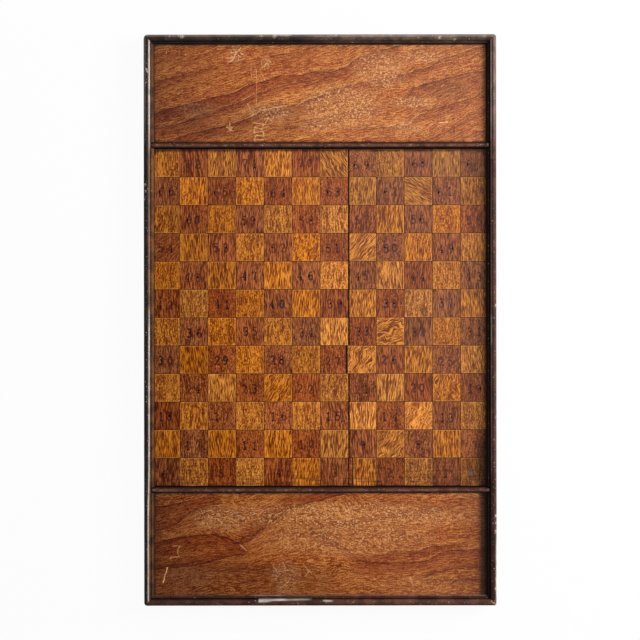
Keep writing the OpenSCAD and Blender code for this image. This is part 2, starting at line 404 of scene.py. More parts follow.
def light_oak_material():
    """Light squares: oak in its own colour under old shellac, golden with brown pores and pale worn edges."""
    material, tree = new_material("oak_shellacked")
    place, figure = oak_figure(tree)
    base, pores = oak_colour(tree, figure, *LIGHT_OAK)
    rim = add(tree, ATTRIBUTE, attribute_name="rim").outputs["Fac"]
    worn = stretched_noise(tree, place, (3.0, 3.0, 3.0), shift=17.0)
    edge = add(tree, MATH, [rim, worn], operation="MULTIPLY")
    rubbed = add(tree, MIX, {"Factor": edge, "A": base, "B": colour("#E49A46")}, **COLOUR_MIX)
    finish_oak(tree, place, rubbed, pores, 0.5)
    return material


def dark_oak_material():
    """Dark squares: oak stained reddish brown before it was glued down."""
    material, tree = new_material("oak_stained")
    place, figure = oak_figure(tree)
    base, pores = oak_colour(tree, figure, *DARK_OAK)
    finish_oak(tree, place, base, pores, 0.5)
    return material


def stamp_ink_material():
    """Numbers: purplish ink stamped into the stained oak, rubbed thin in places so that the grain shows."""
    material, tree = new_material("stamp_ink")
    place, figure = oak_figure(tree)
    wood, pores = oak_colour(tree, figure, *DARK_OAK)
    cover = stretched_noise(tree, place, (2.6, 2.6, 9.0), detail=3.0, shift=3.0)
    patchy = add(tree, MAP_RANGE, [cover, 0.3, 0.55, 0.82, 1.0], **SOFT_STEP)
    fade = add(tree, ATTRIBUTE, attribute_name="fade").outputs["Fac"]
    inked = add(tree, MATH, [patchy, fade], operation="MULTIPLY")
    heavy = add(tree, MAP_RANGE, [fade, 0.86, 0.95], **SOFT_STEP)
    ink = lay_over(tree, colour("#40080E"), [(heavy, "#28141E")])
    base = add(tree, MIX, {"Factor": inked, "A": wood, "B": ink}, **COLOUR_MIX)
    finish_oak(tree, place, base, pores, 0.6)
    return material


def tray_grain(tree, parts, shown):
    """Golden early wood and red-brown late wood in broad flames, with fibres that bend along the rings."""
    figure = add(tree, COMBINE, {"X": parts["X"], "Y": shown["lift"], "Z": parts["Z"]})
    bands = stretched_noise(tree, figure, (110.0, 9.0, 50.0))
    fibres = stretched_noise(tree, figure, (9.0, 0.85, 20.0), detail=1.0, shift=4.0)
    flecks = stretched_noise(tree, figure, (2.0, 0.8, 9.0), detail=1.0, shift=9.0)
    most = add(tree, MATH, [fibres, 0.45], operation="MULTIPLY")
    both = add(tree, MATH, [flecks, 0.4, most], operation="MULTIPLY_ADD")
    banded = add(tree, MATH, [bands, 0.15, both], operation="MULTIPLY_ADD")
    grained = add(tree, RAMP, {"Fac": banded})
    set_stops(grained, (0.42, "#7E2E08"), (0.5, "#B05820"), (0.58, "#DE9248"))
    late = {"Factor": shown["late"], "A": grained, "B": colour("#BC8074")}
    return add(tree, MIX, late, blend_type="MULTIPLY", **COLOUR_MIX), fibres


def ring_lines(tree, place, shown):
    """How strongly the thin dark line of a growth ring shows, a little shaky and broken in places."""
    shake = stretched_noise(tree, place, (2.5, 2.5, 2.5), shift=13.0)
    moved = add(tree, MATH, [shake, 1.6, shown["ring_off"]], operation="MULTIPLY_ADD")
    line = add(tree, MATH, [moved, 0.8, 0.65], operation="COMPARE")
    breaks = stretched_noise(tree, place, (7.0, 7.0, 7.0), shift=15.0)
    broken = add(tree, MAP_RANGE, [breaks, 0.4, 0.56, 0.5, 1.0], **SOFT_STEP)
    drawn = add(tree, MATH, [line, broken], operation="MULTIPLY")
    return add(tree, MATH, [drawn, shown["ring"]], operation="MULTIPLY")


def curls(tree, place, shown, short):
    """How strongly the dark edges and the pale crests of the small curled scratches show."""
    pattern = stretched_noise(tree, place, (5.0, 3.0, 20.0), shift=21.0)
    gaps = add(tree, MAP_RANGE, [short, 0.44, 0.54], **SOFT_STEP)
    curled = add(tree, MATH, [gaps, shown["worn"]], operation="MULTIPLY")
    shares = []
    for level, reach in ((0.44, 0.036), (0.53, 0.042)):
        line = add(tree, MATH, [pattern, level, reach], operation="COMPARE")
        shares.append(add(tree, MATH, [line, curled], operation="MULTIPLY"))
    return shares


def single_scratches(tree, shown, short):
    """How strongly the single scratches show, which skip over the hollows of the wood."""
    line = add(tree, MATH, [shown["mark_off"], 0.0, 0.42], operation="COMPARE")
    drawn = add(tree, MATH, [line, shown["mark"]], operation="MULTIPLY")
    skips = add(tree, MAP_RANGE, [short, 0.36, 0.56, 0.55, 1.0], **SOFT_STEP)
    return add(tree, MATH, [drawn, skips], operation="MULTIPLY")


def tray_grime(tree, place, parts):
    """How strongly the dirt and painted shade along the edges of either tray show."""
    top = frame_grime(tree, place, *TOP_TRAY_DIRT_AND_SHADE, 4.0)
    bottom = frame_grime(tree, place, *BOTTOM_TRAY_DIRT_AND_SHADE, 0.6)
    upper = add(tree, MAP_RANGE, [parts["Y"], -1.0, 1.0])
    dirt_and_shade = add(tree, MIX, {"Factor": upper, "A": bottom, "B": top})
    return add(tree, MATH, [dirt_and_shade, 0.85], operation="MULTIPLY")


def tray_board_material():
    """Tray floors: a stained board with the grain across the tray, golden early wood and red-brown late wood
    in broad flames, scrubbed pale and scored with small curls where the pieces were dropped and swept up."""
    material, tree = new_material("board_stained")
    place = place_in_mm(tree)
    parts = add(tree, SEPARATE, [place]).outputs
    names = ("ring_off", "ring", "late", "lift", "mark_off", "mark", "worn", "stain", "soot_and_shadow")
    shown = {name: add(tree, ATTRIBUTE, attribute_name=name).outputs["Fac"] for name in names}
    short = stretched_noise(tree, place, (2.6, 2.6, 2.6), detail=1.0, shift=23.0)
    wood, fibres = tray_grain(tree, parts, shown)
    edges, crests = curls(tree, place, shown, short)
    scored = lay_over(tree, wood, [
        (ring_lines(tree, place, shown), "#401A0A"),
        (add(tree, MATH, [shown["worn"], 0.16], operation="MULTIPLY"), "#D69A58"),
        (edges, "#70381A"),
        (crests, "#F4B47C"),
    ])
    stain = {"Factor": shown["stain"], "A": scored, "B": colour("#8883A0")}
    stained = add(tree, MIX, stain, blend_type="MULTIPLY", **COLOUR_MIX)
    scratches = {"Factor": single_scratches(tree, shown, short), "A": stained, "B": colour("#F0B478")}
    scratched = add(tree, MIX, scratches, **COLOUR_MIX)
    # A painted sheen of reflected light goes on first, then dirt that holds painted shadow and shade
    dirt_sheen_and_shade = lay_over(tree, bloom_of_old_wax(tree, place, scratched), [
        # dirt with the painted shadow of the right rail
        (shown["soot_and_shadow"], "#2A201E"),
        # dirt and painted shade along the edges of the trays
        (tray_grime(tree, place, parts), "#241D1C"),
    ])
    bump = add(tree, BUMP, {"Strength": 0.2, "Distance": 0.00015, "Height": fibres})
    set_surface(tree, {
        "Base Color": dirt_sheen_and_shade, "Roughness": 0.48, "IOR": 1.5, "Specular IOR Level": 0.1, "Normal": bump,
    })
    return material


# The colours of each paint's body, crests, painted shade in its grooves, and ground: the black of the
# frame, the same rubbed down further, the thin brown of the right and bottom rails, and that of the dividers
PAINTS = {
    "paint_black": ("#181413", "#2C2523", "#0C0B0C", "#7C6254"),
    "paint_rubbed_black": ("#181413", "#2C2523", "#0C0B0C", "#845430"),
    "paint_thin_brown": ("#200F0A", "#40221A", "#0E0A0A", "#744A38"),
    "paint_bead_brown": ("#2A1209", "#4A2618", "#140804", "#785040"),
}


def paint_material(name, body, crest, groove_shade_colour, ground):
    """Near-black paint brushed on the mouldings: thin on the crests, dull and painted black with shade in the
    grooves, rubbed down to its brown ground in broad streaks that also paint light on lit faces, pale in thin
    streaks that are painted highlights and glints as well as scrapes, and chipped at the edges."""
    material, tree = new_material(name)
    place = place_in_mm(tree)
    names = ("exposure", "brown", "pale", "chipped")
    shown = {key: add(tree, ATTRIBUTE, attribute_name=key).outputs["Fac"] for key in names}
    patches = stretched_noise(tree, place, (14.0, 14.0, 14.0), detail=4.0)
    specks = stretched_noise(tree, place, (1.6, 1.6, 1.6), detail=3.0, shift=8.0)
    shares = {}
    for share, pattern, low, high, least, value in (
        ("thin", patches, 0.36, 0.62, 0.3, "exposure"),
        ("through", patches, 0.4, 0.6, 0.45, "brown"),
        ("scraped_and_highlit", specks, 0.34, 0.52, 0.68, "pale"),
        ("knocked", specks, 0.66, 0.72, 0.0, "exposure"),
        ("chipped", specks, 0.35, 0.55, 0.0, "chipped"),
    ):
        patchy = add(tree, MAP_RANGE, [pattern, low, high, least], **SOFT_STEP)
        shares[share] = add(tree, MATH, [patchy, shown[value]], operation="MULTIPLY")
    groove_shade = add(tree, MAP_RANGE, [shown["exposure"], 0.0, 0.3, 1.0, 0.0], **SOFT_STEP)
    missing = add(tree, MATH, [shares["knocked"], shares["chipped"]], operation="MAXIMUM")
    painted = lay_over(tree, colour(body), [
        (shares["thin"], crest),
        # painted shade in the grooves
        (groove_shade, groove_shade_colour),
        # brown wear that also paints light on lit faces
        (shares["through"], ground),
        # pale wear that is also a painted highlight
        (shares["scraped_and_highlit"], "#DCD2CA"),
        (missing, "#CDBCAC"),
    ])
    dull = add(tree, MATH, [patches, 0.3, 0.5], operation="MULTIPLY_ADD")
    lumps = stretched_noise(tree, place, (4.0, 4.0, 4.0), detail=3.0, shift=2.0)
    bump = add(tree, BUMP, {"Strength": 0.3, "Distance": 0.0003, "Height": lumps})
    set_surface(tree, {
        "Base Color": painted, "Roughness": dull, "IOR": 1.5, "Specular IOR Level": 0.14, "Normal": bump,
    })
    return material


def brad_steel_material():
    """Brads: mild steel wire, cut and pointed, gone brown with a thin even rust."""
    material, tree = new_material("steel_browned")
    rust = stretched_noise(tree, place_in_mm(tree), (0.8, 0.8, 0.8), detail=3.0)
    rusted = add(tree, MAP_RANGE, [rust, 0.4, 0.62], **SOFT_STEP)
    set_surface(tree, {
        "Base Color": lay_over(tree, colour("#5C5148"), [(rusted, "#4A2B1C")]),
        "Roughness": add(tree, MAP_RANGE, [rusted, 0.0, 1.0, 0.35, 0.75]),
        "Metallic": 0.8,
    })
    return material


# The base panel is glued up from boards this wide
BASE_BOARD_WIDTH = 105.0


def base_pine_material():
    """Base panel: old planed pine boards glued edge to edge, yellowed below and brown with glue above."""
    material, tree = new_material("pine_planed")
    parts = add(tree, SEPARATE, [place_in_mm(tree)]).outputs
    board = add(tree, MATH, [parts["X"], BASE_BOARD_WIDTH], operation="SNAP")
    from_edge = add(tree, MATH, [parts["X"], board], operation="SUBTRACT")
    other = add(tree, MATH, [board, 7.0, parts["Y"]], operation="MULTIPLY_ADD")
    own = add(tree, COMBINE, {"X": parts["X"], "Y": other, "Z": parts["Z"]})
    waver = stretched_noise(tree, own, (34.0, 420.0, 60.0), detail=1.0)
    bent = add(tree, MATH, [waver, 75.0, from_edge], operation="MULTIPLY_ADD")
    rings = add(tree, MATH, [bent, 4.5], operation="PINGPONG")
    faint = stretched_noise(tree, own, (9.0, 500.0, 60.0), detail=0.0, shift=6.0)
    depth = add(tree, MAP_RANGE, [faint, 0.35, 0.65, 0.1, 0.75], **SOFT_STEP)
    late = add(tree, MAP_RANGE, [rings, 2.2, 4.4, 0.0, depth], **SOFT_STEP)
    fibres = stretched_noise(tree, own, (1.3, 45.0, 9.0))
    early = add(tree, MAP_RANGE, [fibres, 0.4, 0.7], **SOFT_STEP)
    boards = add(tree, MATH, [parts["X"], BASE_BOARD_WIDTH / 2], operation="PINGPONG")
    glue_line = add(tree, MAP_RANGE, [boards, 0.0, 0.5, 0.8, 0.0], **SOFT_STEP)
    facing = add(tree, "ShaderNodeNewGeometry").outputs["Normal"]
    upwards = add(tree, SEPARATE, [facing]).outputs["Z"]
    on_top = add(tree, MAP_RANGE, [upwards, 0.3, 0.7], **SOFT_STEP)
    dusty = lay_over(tree, colour("#B08A58"), [
        (early, "#C9A470"), (late, "#8A5E34"), (glue_line, "#4A3220"), (on_top, "#7C421A"),
    ])
    bump = add(tree, BUMP, {"Strength": 0.3, "Distance": 0.0002, "Height": fibres})
    set_surface(tree, {"Base Color": dusty, "Roughness": 0.7, "Normal": bump})
    return material


# Playing field

EDGE_WEAR = 0.3
RIM_WIDTH = 1.4


def worn_block():
    """One square, centred on the origin with its top at zero, and its upper edges rounded by wear."""
    work = bmesh.new()
    bmesh.ops.create_cube(work, size=1.0)
    side = (PITCH - SQUARE_JOINT) * MM
    tall = SQUARE_THICKNESS * MM
    bmesh.ops.transform(work, matrix=Matrix.Diagonal((side, side, tall, 1.0)), verts=work.verts)
    bmesh.ops.translate(work, vec=(0.0, 0.0, -tall / 2), verts=work.verts)
    upper = [edge for edge in work.edges if all(v.co.z > -MM for v in edge.verts)]
    bmesh.ops.bevel(work, geom=upper, offset=EDGE_WEAR * MM, segments=2, profile=0.5, affect="EDGES")
    work.normal_update()
    face = max(work.faces, key=lambda face: face.calc_center_median().z)
    bmesh.ops.inset_individual(work, faces=[face], thickness=RIM_WIDTH * MM)
    rim = work.verts.layers.float.new("rim")
    dirt = work.verts.layers.float.new("joint_dirt")
    inner = side / 2 - EDGE_WEAR * MM * 1.5
    for point in work.verts:
        point[rim] = 1.0 if max(abs(point.co.x), abs(point.co.y)) > inner else 0.0
        point[dirt] = min(1.0, -point.co.z / (EDGE_WEAR * MM))
    mesh = bpy.data.meshes.new("worn_block")
    work.to_mesh(mesh)
    work.free()
    return link("worn_block", mesh)


def new_geometry_tree(name, sockets):
    """An empty Geometry Nodes tree with one output, and its named inputs to link from."""
    tree = bpy.data.node_groups.new(name, "GeometryNodeTree")
    tree.is_modifier = True
    for socket, kind in sockets.items():
        tree.interface.new_socket(name=socket, in_out="INPUT", socket_type=f"NodeSocket{kind}")
    tree.interface.new_socket(name="Geometry", in_out="OUTPUT", socket_type="NodeSocketGeometry")
    return tree, add(tree, "NodeGroupInput").outputs


def finish_geometry_tree(tree, instances, material):
    """Turns the instances into one mesh, gives it its material and makes it the output."""
    real = add(tree, "GeometryNodeRealizeInstances", {"Geometry": instances})
    dressed = add(tree, "GeometryNodeSetMaterial", {"Geometry": real, "Material": material})
    add(tree, "NodeGroupOutput", {"Geometry": dressed})


# What is drawn at random for each square, between a lowest and a highest value
RANDOM_VALUES = {
    "grain_turn": (-0.1, 0.1),
    "tone": (-1.0, 1.0),
    "warmth": (-1.0, 1.0),
    "grain_swirl": (0.8, 3.0),
}


def row_tree():
    """Lays blocks in a line and gives each one a grain shift, a grain turn and a tone of its own."""
    tree, given = new_geometry_tree("row_of_squares", {
        "Block": "Object", "Wood": "Material", "Count": "Int", "Start": "Vector", "Step": "Vector",
        "Seed": "Int",
    })
    line = add(tree, "GeometryNodeMeshLine", {
        "Count": given["Count"], "Start Location": given["Start"], "Offset": given["Step"],
    })
    block = add(tree, "GeometryNodeObjectInfo", {"Object": given["Block"]}).outputs["Geometry"]
    stored = add(tree, "GeometryNodeInstanceOnPoints", {"Points": line, "Instance": block})
    place = add(tree, "GeometryNodeInputIndex")
    shift = add(tree, "FunctionNodeRandomValue", {
        "Min": (-400.0, -400.0, -400.0), "Max": (400.0, 400.0, 400.0), "ID": place, "Seed": given["Seed"],
    }, data_type="FLOAT_VECTOR")
    values = {"grain_shift": shift, "place_in_row": place}
    for step, (name, (low, high)) in enumerate(RANDOM_VALUES.items(), start=1):
        seed = add(tree, MATH, [given["Seed"], 100.0 * step], operation="ADD")
        drawn = {"Min": low, "Max": high, "ID": place, "Seed": seed}
        values[name] = add(tree, "FunctionNodeRandomValue", drawn)
    for name, value in values.items():
        kind = "FLOAT_VECTOR" if name == "grain_shift" else "FLOAT"
        stored = add(tree, "GeometryNodeStoreNamedAttribute", {
            "Geometry": stored, "Name": name, "Value": value,
        }, data_type=kind, domain="INSTANCE")
    finish_geometry_tree(tree, stored, given["Wood"])
    return tree


# Squares whose grain is not plain: (row, column) with the turn in degrees and the swirl in millimetres
FIGURED = {
    (2, 10): (-58, 4), (4, 8): (38, 5), (7, 9): (75, 16), (10, 10): (25, 12), (4, 1): (40, 5),
    (8, 8): (20, 14), (11, 9): (30, 10), (9, 11): (10, 12), (1, 7): (-25, 8), (9, 5): (25, 9),
    (12, 10): (8, 8),
}
# Squares that are plainly paler or darker than their neighbours
ODD_TONES = {
    (10, 8): 1.6, (7, 7): 1.4, (10, 10): 1.4, (1, 1): -1.0, (7, 1): -1.4, (12, 12): -2.6,
    (12, 1): -2.4, (1, 12): -1.6, (2, 12): -1.4, (10, 5): 1.4,
}
# How much darker whole columns and rows are, most in the column at the left rail
COLUMN_TONES = {1: -1.7, 2: -0.7, 3: -0.5, 4: -0.2, 8: -0.6, 9: -0.7, 10: -1.0, 11: -1.0, 12: -0.4}
ROW_TONES = {12: -0.6}
# The stain evens out the dark squares, so that their tones differ less
DARK_TONE_SPREAD = 0.55


def column_x(column):
    """Middle of a column of squares."""
    return (column - 0.5 - SQUARES / 2) * PITCH


def row_y(row):
    """Middle of a row of squares."""
    return FIELD_TOP - (row - 0.5) * PITCH


def dress_square(mesh, row, column, where):
    """Gives one square of a row its own edges, grain and tone where these differ."""
    found = mesh.attributes["place_in_row"].data
    points = [point for point, value in zip(mesh.vertices, found) if value.value == where]
    middle = column_x(column)
    left = middle - PITCH / 2 + SQUARE_JOINT / 2
    right = middle + PITCH / 2 - SQUARE_JOINT / 2
    if column == OPEN_COLUMN:
        right = SHORT_ROW_LEFT if row == SHORT_ROW else OPEN_LEFT
    if column == OPEN_COLUMN + 1:
        left = {SQUARES: LAST_ROW_RIGHT, SHORT_ROW: SHORT_ROW_RIGHT}.get(row, OPEN_RIGHT)
    tones = mesh.attributes["tone"].data
    spread = DARK_TONE_SPREAD if (row + column) % 2 else 1.0
    darker = COLUMN_TONES.get(column, 0.0) + ROW_TONES.get(row, 0.0)
    for point in points:
        off = point.co.x / MM - middle
        edge = right if off > 0 else left
        true_edge = math.copysign((PITCH - SQUARE_JOINT) / 2, off)
        point.co.x = (edge + off - true_edge) * MM
        tone = tones[point.index]
        tone.value = ODD_TONES.get((row, column), tone.value * spread + darker)
        if (row, column) in FIGURED:
            turn, swirl = FIGURED[(row, column)]
            mesh.attributes["grain_turn"].data[point.index].value = math.radians(turn)
            mesh.attributes["grain_swirl"].data[point.index].value = swirl


def lay_squares(light_oak, dark_oak):
    """All the squares, those of one colour in a row as one piece. Returns the dark pieces by row."""
    block = worn_block()
    tree = row_tree()
    dark_rows = {}
    for row in range(1, SQUARES + 1):
        for tone, wood in (("light", light_oak), ("dark", dark_oak)):
            first = 1 if (row % 2 == 1) == (tone == "light") else 2
            node = f"row_{row:02d}_{tone}"
            piece = grow(
                f"oak_{node}", tree, Block=block, Wood=wood, Count=SQUARES // 2,
                Start=(column_x(first) * MM, row_y(row) * MM, FIELD_Z * MM),
                Step=(2 * PITCH * MM, 0.0, 0.0), Seed=row * 2 + (tone == "dark"),
            )
            for where in range(SQUARES // 2):
                dress_square(piece.data, row, first + 2 * where, where)
            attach(piece, "root")
            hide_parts(node)
            if tone == "dark":
                dark_rows[row] = piece
    bpy.data.objects.remove(block)
    return dark_rows


# Stamped numbers

DIGIT_WIDTH = 5.6
DIGIT_HEIGHT = 10.6
STROKE_WIDTH = 2.1
INK_THICKNESS = 0.04
ARC_STEPS = 7
# What the hand varied from number to number, between two values: how far right of and below the middle of
# its square a number stands, the spacing of its figures, and the strength of its ink
NUMBER_RIGHT = (-1.8, 0.8)
NUMBER_DOWN = (0.0, 2.4)
FIGURE_SPACING = (9.5, 13.5)
NUMBER_STRENGTH = (0.76, 1.0)
# And from figure to figure: how far up one stands, its lean in radians, and its strength
FIGURE_UP = (-0.5, 0.5)
FIGURE_LEAN = (-0.07, 0.07)
FIGURE_STRENGTH = (0.8, 1.0)


def arc(middle, radii, start, end):
    """Points on an ellipse from one angle to another, in degrees."""
    angles = [math.radians(start + (end - start) * i / ARC_STEPS) for i in range(ARC_STEPS + 1)]
    return [(middle[0] + radii[0] * math.cos(a), middle[1] + radii[1] * math.sin(a)) for a in angles]


# Strokes of each figure in a box one wide and one high, in the slab style of a rubber stamp
FIGURES = {
    0: [arc((0.5, 0.5), (0.45, 0.48), 90, 450)],
    1: [[(0.15, 0.78), (0.52, 1.0), (0.52, 0.02)], [(0.15, 0.02), (0.9, 0.02)]],
    2: [arc((0.5, 0.72), (0.4, 0.27), 175, -30) + [(0.1, 0.03), (0.92, 0.03), (0.95, 0.16)]],
    3: [arc((0.46, 0.76), (0.38, 0.23), 150, -90), arc((0.46, 0.28), (0.44, 0.27), 90, -150)],
    4: [[(0.9, 0.3), (0.04, 0.3), (0.68, 0.98), (0.68, 0.02)], [(0.42, 0.02), (0.95, 0.02)]],
    5: [[(0.85, 0.97), (0.2, 0.97), (0.16, 0.56)] + arc((0.46, 0.32), (0.44, 0.31), 110, -150)],
    6: [arc((0.8, 0.42), (0.74, 0.55), 95, 190), arc((0.5, 0.3), (0.42, 0.29), 180, 540)],
    7: [[(0.06, 0.78), (0.06, 0.97), (0.92, 0.97), (0.42, 0.02)]],
    8: [arc((0.5, 0.76), (0.34, 0.22), -90, 270), arc((0.5, 0.27), (0.43, 0.26), 90, 450)],
    9: [arc((0.5, 0.7), (0.42, 0.28), 0, 360), arc((0.2, 0.58), (0.74, 0.55), -85, 10)],
}


def stroke_slab(work, path):
    """Adds one stroke of ink as a thin closed slab along a path in millimetres."""
    path = [Vector(p) for p in path]
    rows = []
    for i, point in enumerate(path):
        ahead = path[min(i + 1, len(path) - 1)] - path[max(i - 1, 0)]
        side = Vector((-ahead.y, ahead.x)).normalized() * STROKE_WIDTH / 2
        corners = (point + side, point - side)
        heights = (INK_THICKNESS, -INK_THICKNESS)
        rows.append([work.verts.new((c.x * MM, c.y * MM, z * MM)) for z in heights for c in corners])
    for near, far in zip(rows, rows[1:]):
        for a, b in ((0, 1), (1, 3), (3, 2), (2, 0)):
            work.faces.new((near[a], near[b], far[b], far[a]))
    for end in (rows[0], rows[-1]):
        work.faces.new((end[0], end[1], end[3], end[2]))


def figure_stamp(figure):
    """The ink of one figure, centred on the origin."""
    work = bmesh.new()
    for path in FIGURES[figure]:
        stroke_slab(work, [((x - 0.5) * DIGIT_WIDTH, (y - 0.5) * DIGIT_HEIGHT) for x, y in path])
    bmesh.ops.recalc_face_normals(work, faces=work.faces)
    mesh = bpy.data.meshes.new(f"figure_{figure}")
    work.to_mesh(mesh)
    work.free()
    return bpy.data.objects.new(f"figure_{figure}", mesh)


def stamping_tree():
    """Sets the ink of a figure on each point, turned as the point says."""
    tree, given = new_geometry_tree("stamping", {
        "Geometry": "Geometry", "Stamps": "Collection", "Ink": "Material",
    })
    stamps = add(tree, "GeometryNodeCollectionInfo", {
        "Collection": given["Stamps"], "Separate Children": True, "Reset Children": True,
    })
    figure = add(tree, "GeometryNodeInputNamedAttribute", {"Name": "figure"}, data_type="INT")
    lean = add(tree, "GeometryNodeInputNamedAttribute", {"Name": "lean"}, data_type="FLOAT")
    turn = add(tree, COMBINE, {"Z": lean})
    set_down = add(tree, "GeometryNodeInstanceOnPoints", {
        "Points": given["Geometry"], "Instance": stamps, "Pick Instance": True, "Instance Index": figure,
        "Rotation": turn,
    })
    finish_geometry_tree(tree, set_down, given["Ink"])
    return tree


def stamp_places(dark_rows):
    """A point for each figure, with its lean, its fade and the grain of the square under it."""
    chance = random.Random(72)
    copied = ("grain_turn", "grain_swirl", "tone", "warmth")
    values = {name: [] for name in ("lean", "fade", *copied)}
    places, figures, shifts = [], [], []
    for row, piece in dark_rows.items():
        attributes = piece.data.attributes
        order = [round(value.value) for value in attributes["place_in_row"].data]
        for where in range(SQUARES // 2):
            number = DARK_SQUARES - (row - 1) * SQUARES // 2 - where
            column = 2 * where + (2 if row % 2 == 1 else 1)
            middle_x = column_x(column) + chance.uniform(*NUMBER_RIGHT)
            middle_y = row_y(row) - chance.uniform(*NUMBER_DOWN)
            spacing = chance.uniform(*FIGURE_SPACING)
            strength = chance.uniform(*NUMBER_STRENGTH)
            point = order.index(where)
            digits = str(number)
            for i, digit in enumerate(digits):
                x = middle_x + (i - (len(digits) - 1) / 2) * spacing
                y = middle_y + chance.uniform(*FIGURE_UP)
                places.append((x * MM, y * MM, FIELD_Z * MM))
                figures.append(int(digit))
                values["lean"].append(chance.uniform(*FIGURE_LEAN))
                values["fade"].append(strength * chance.uniform(*FIGURE_STRENGTH))
                for name in copied:
                    values[name].append(attributes[name].data[point].value)
                shifts.extend(attributes["grain_shift"].data[point].vector)
    mesh = bpy.data.meshes.new("stamp_places")
    mesh.from_pydata(places, [], [])
    give_values(mesh, values)
    mesh.attributes.new("figure", "INT", "POINT").data.foreach_set("value", figures)
    mesh.attributes.new("grain_shift", "FLOAT_VECTOR", "POINT").data.foreach_set("vector", shifts)
    return mesh


def stamp_numbers(dark_rows, ink):
    """The numbers on the dark squares, 72 at the top left down to 1 at the bottom right."""
    stamps = bpy.data.collections.new("stamps")
    objects = [figure_stamp(figure) for figure in sorted(FIGURES)]
    for stamp in objects:
        stamps.objects.link(stamp)
    piece = grow("stamped_numbers", stamping_tree(), mesh=stamp_places(dark_rows), Stamps=stamps, Ink=ink)
    for stamp in objects:
        bpy.data.objects.remove(stamp)
    bpy.data.collections.remove(stamps)
    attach(piece, "root")


def set_filler(wood):
    """The strip let into the open joint of the bottom row, a worn block made narrow."""
    piece = worn_block()
    piece.name = "oak_filler_strip"
    mesh = piece.data
    narrower = (PITCH - SQUARE_JOINT - (FILLER_RIGHT - FILLER_LEFT)) / 2
    middle = (FILLER_LEFT + FILLER_RIGHT) / 2
    for point in mesh.vertices:
        point.co.x += (middle - math.copysign(narrower, point.co.x)) * MM
        point.co.y += (FIELD_BOTTOM + PITCH / 2) * MM
        point.co.z += FIELD_Z * MM
    settled = {"grain_turn": 0.0, "grain_swirl": 2.5, "tone": -0.5, "warmth": 0.0}
    give_values(mesh, {name: [value] * len(mesh.vertices) for name, value in settled.items()})
    mesh.attributes.new("grain_shift", "FLOAT_VECTOR", "POINT")
    mesh.materials.append(wood)
    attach(piece, "root")
    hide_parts("filler_strip")


# Frame and dividers

STATION = 1.6
CORNER_STATION = 0.4
# Wear of the mouldings: the least of it, the size and depth of its dents and of its sharper nicks, and how
# long the ragged places of a streak and the worn ones of a divider are
LEAST_WEAR = 0.03
DENT_SIZE = 14.0
DENT_DEPTH = 0.14
NICK_SIZE = 5.0
NICK_DEPTH = 0.25
RAGGED_SIZE = 9.0
DIVIDER_WEAR_SIZE = 17.0
# Room beside a divider in its housing, and how far from its ends a divider is rounded
HOUSING_PLAY = 0.1
DIVIDER_ROUNDING = 1.6
# The outer faces carry wear and painted light only near the top: the height where these end, and how they
# fade out above that
WEAR_AND_LIGHT_FOOT = 15.2
WEAR_AND_LIGHT_FADE = 5.0
# The radius to which each corner of the frame is worn round
CORNER_RADII = {
    ("left", "top"): 7.0, ("right", "top"): 5.0,
    ("left", "bottom"): 5.5, ("right", "bottom"): 3.5,
}


def moulding_section():
    """Outline of the frame moulding from the foot of its outer face: (u inwards, z up, exposure to wear and
    to light, low in the grooves that get painted shade).
    """
    outer = [(0.0, z, 0.25) for z in (0.0, 5.0, 10.0, 15.0, 19.0)]
    large = []
    for angle in range(180, -1, -12):
        across, up = math.cos(math.radians(angle)), math.sin(math.radians(angle))
        exposure = max(0.15, up) ** 1.5
        large.append((LARGE_BEAD_RADIUS * (1 + across), SPRING_Z + LARGE_BEAD_RADIUS * up, exposure))
    quirk = [(2 * LARGE_BEAD_RADIUS, QUIRK_Z, 0.0), (QUIRK_U, QUIRK_Z, 0.0)]
    small = []
    for angle in range(190, -41, -23):
        across, up = math.cos(math.radians(angle)), math.sin(math.radians(angle))
        u = SMALL_BEAD_U + SMALL_BEAD_RADIUS * across
        small.append((u, SMALL_BEAD_Z + SMALL_BEAD_RADIUS * up, 0.7 * max(0.0, up)))
    start, end = small[-1], (RAIL_WIDTH, SIGHT_Z)
    hollow = []
    for i in range(1, 5):
        t = i / 5
        sag = 4 * HOLLOW_DEPTH * t * (1 - t)
        u = start[0] + (end[0] - start[0]) * t - sag * 0.8
        hollow.append((u, start[1] + (end[1] - start[1]) * t - sag * 0.5, 0.05))
    lip = [(RAIL_WIDTH, SIGHT_Z, 0.15), (RAIL_WIDTH, LIP_Z, 0.0)]
    lip += [(REBATE_WIDTH, LIP_Z, 0.0), (REBATE_WIDTH, 0.0, 0.0)]
    return outer + large + quirk + small + hollow + lip


def section_normals(section):
    """Outward direction at each point of the section."""
    points = np.array([(u, z) for u, z, _ in section])
    along = np.roll(points, -1, axis=0) - np.roll(points, 1, axis=0)
    normals = np.stack([-along[:, 1], along[:, 0]], axis=1)
    return normals / np.linalg.norm(normals, axis=1)[:, None]


def rail_stations(length, housings):
    """Places along a rail, closer together at its corners and doubled at the sides of each housing."""
    reach = length / 2 - RAIL_WIDTH - 1.0
    places = list(np.arange(-reach, reach, STATION)) + [reach]
    places += [side * t for side in (-1, 1) for t in np.arange(reach, length / 2 + 0.01, CORNER_STATION)]
    half = DIVIDER_WIDTH / 2 + HOUSING_PLAY
    for middle in housings:
        places = [t for t in places if abs(t - middle) > half + 0.1 or abs(t - middle) < half - 0.1]
        places += [middle + side * half + step for side in (-1, 1) for step in (-0.005, 0.005)]
    return np.array(sorted(set(np.round(places, 3))))


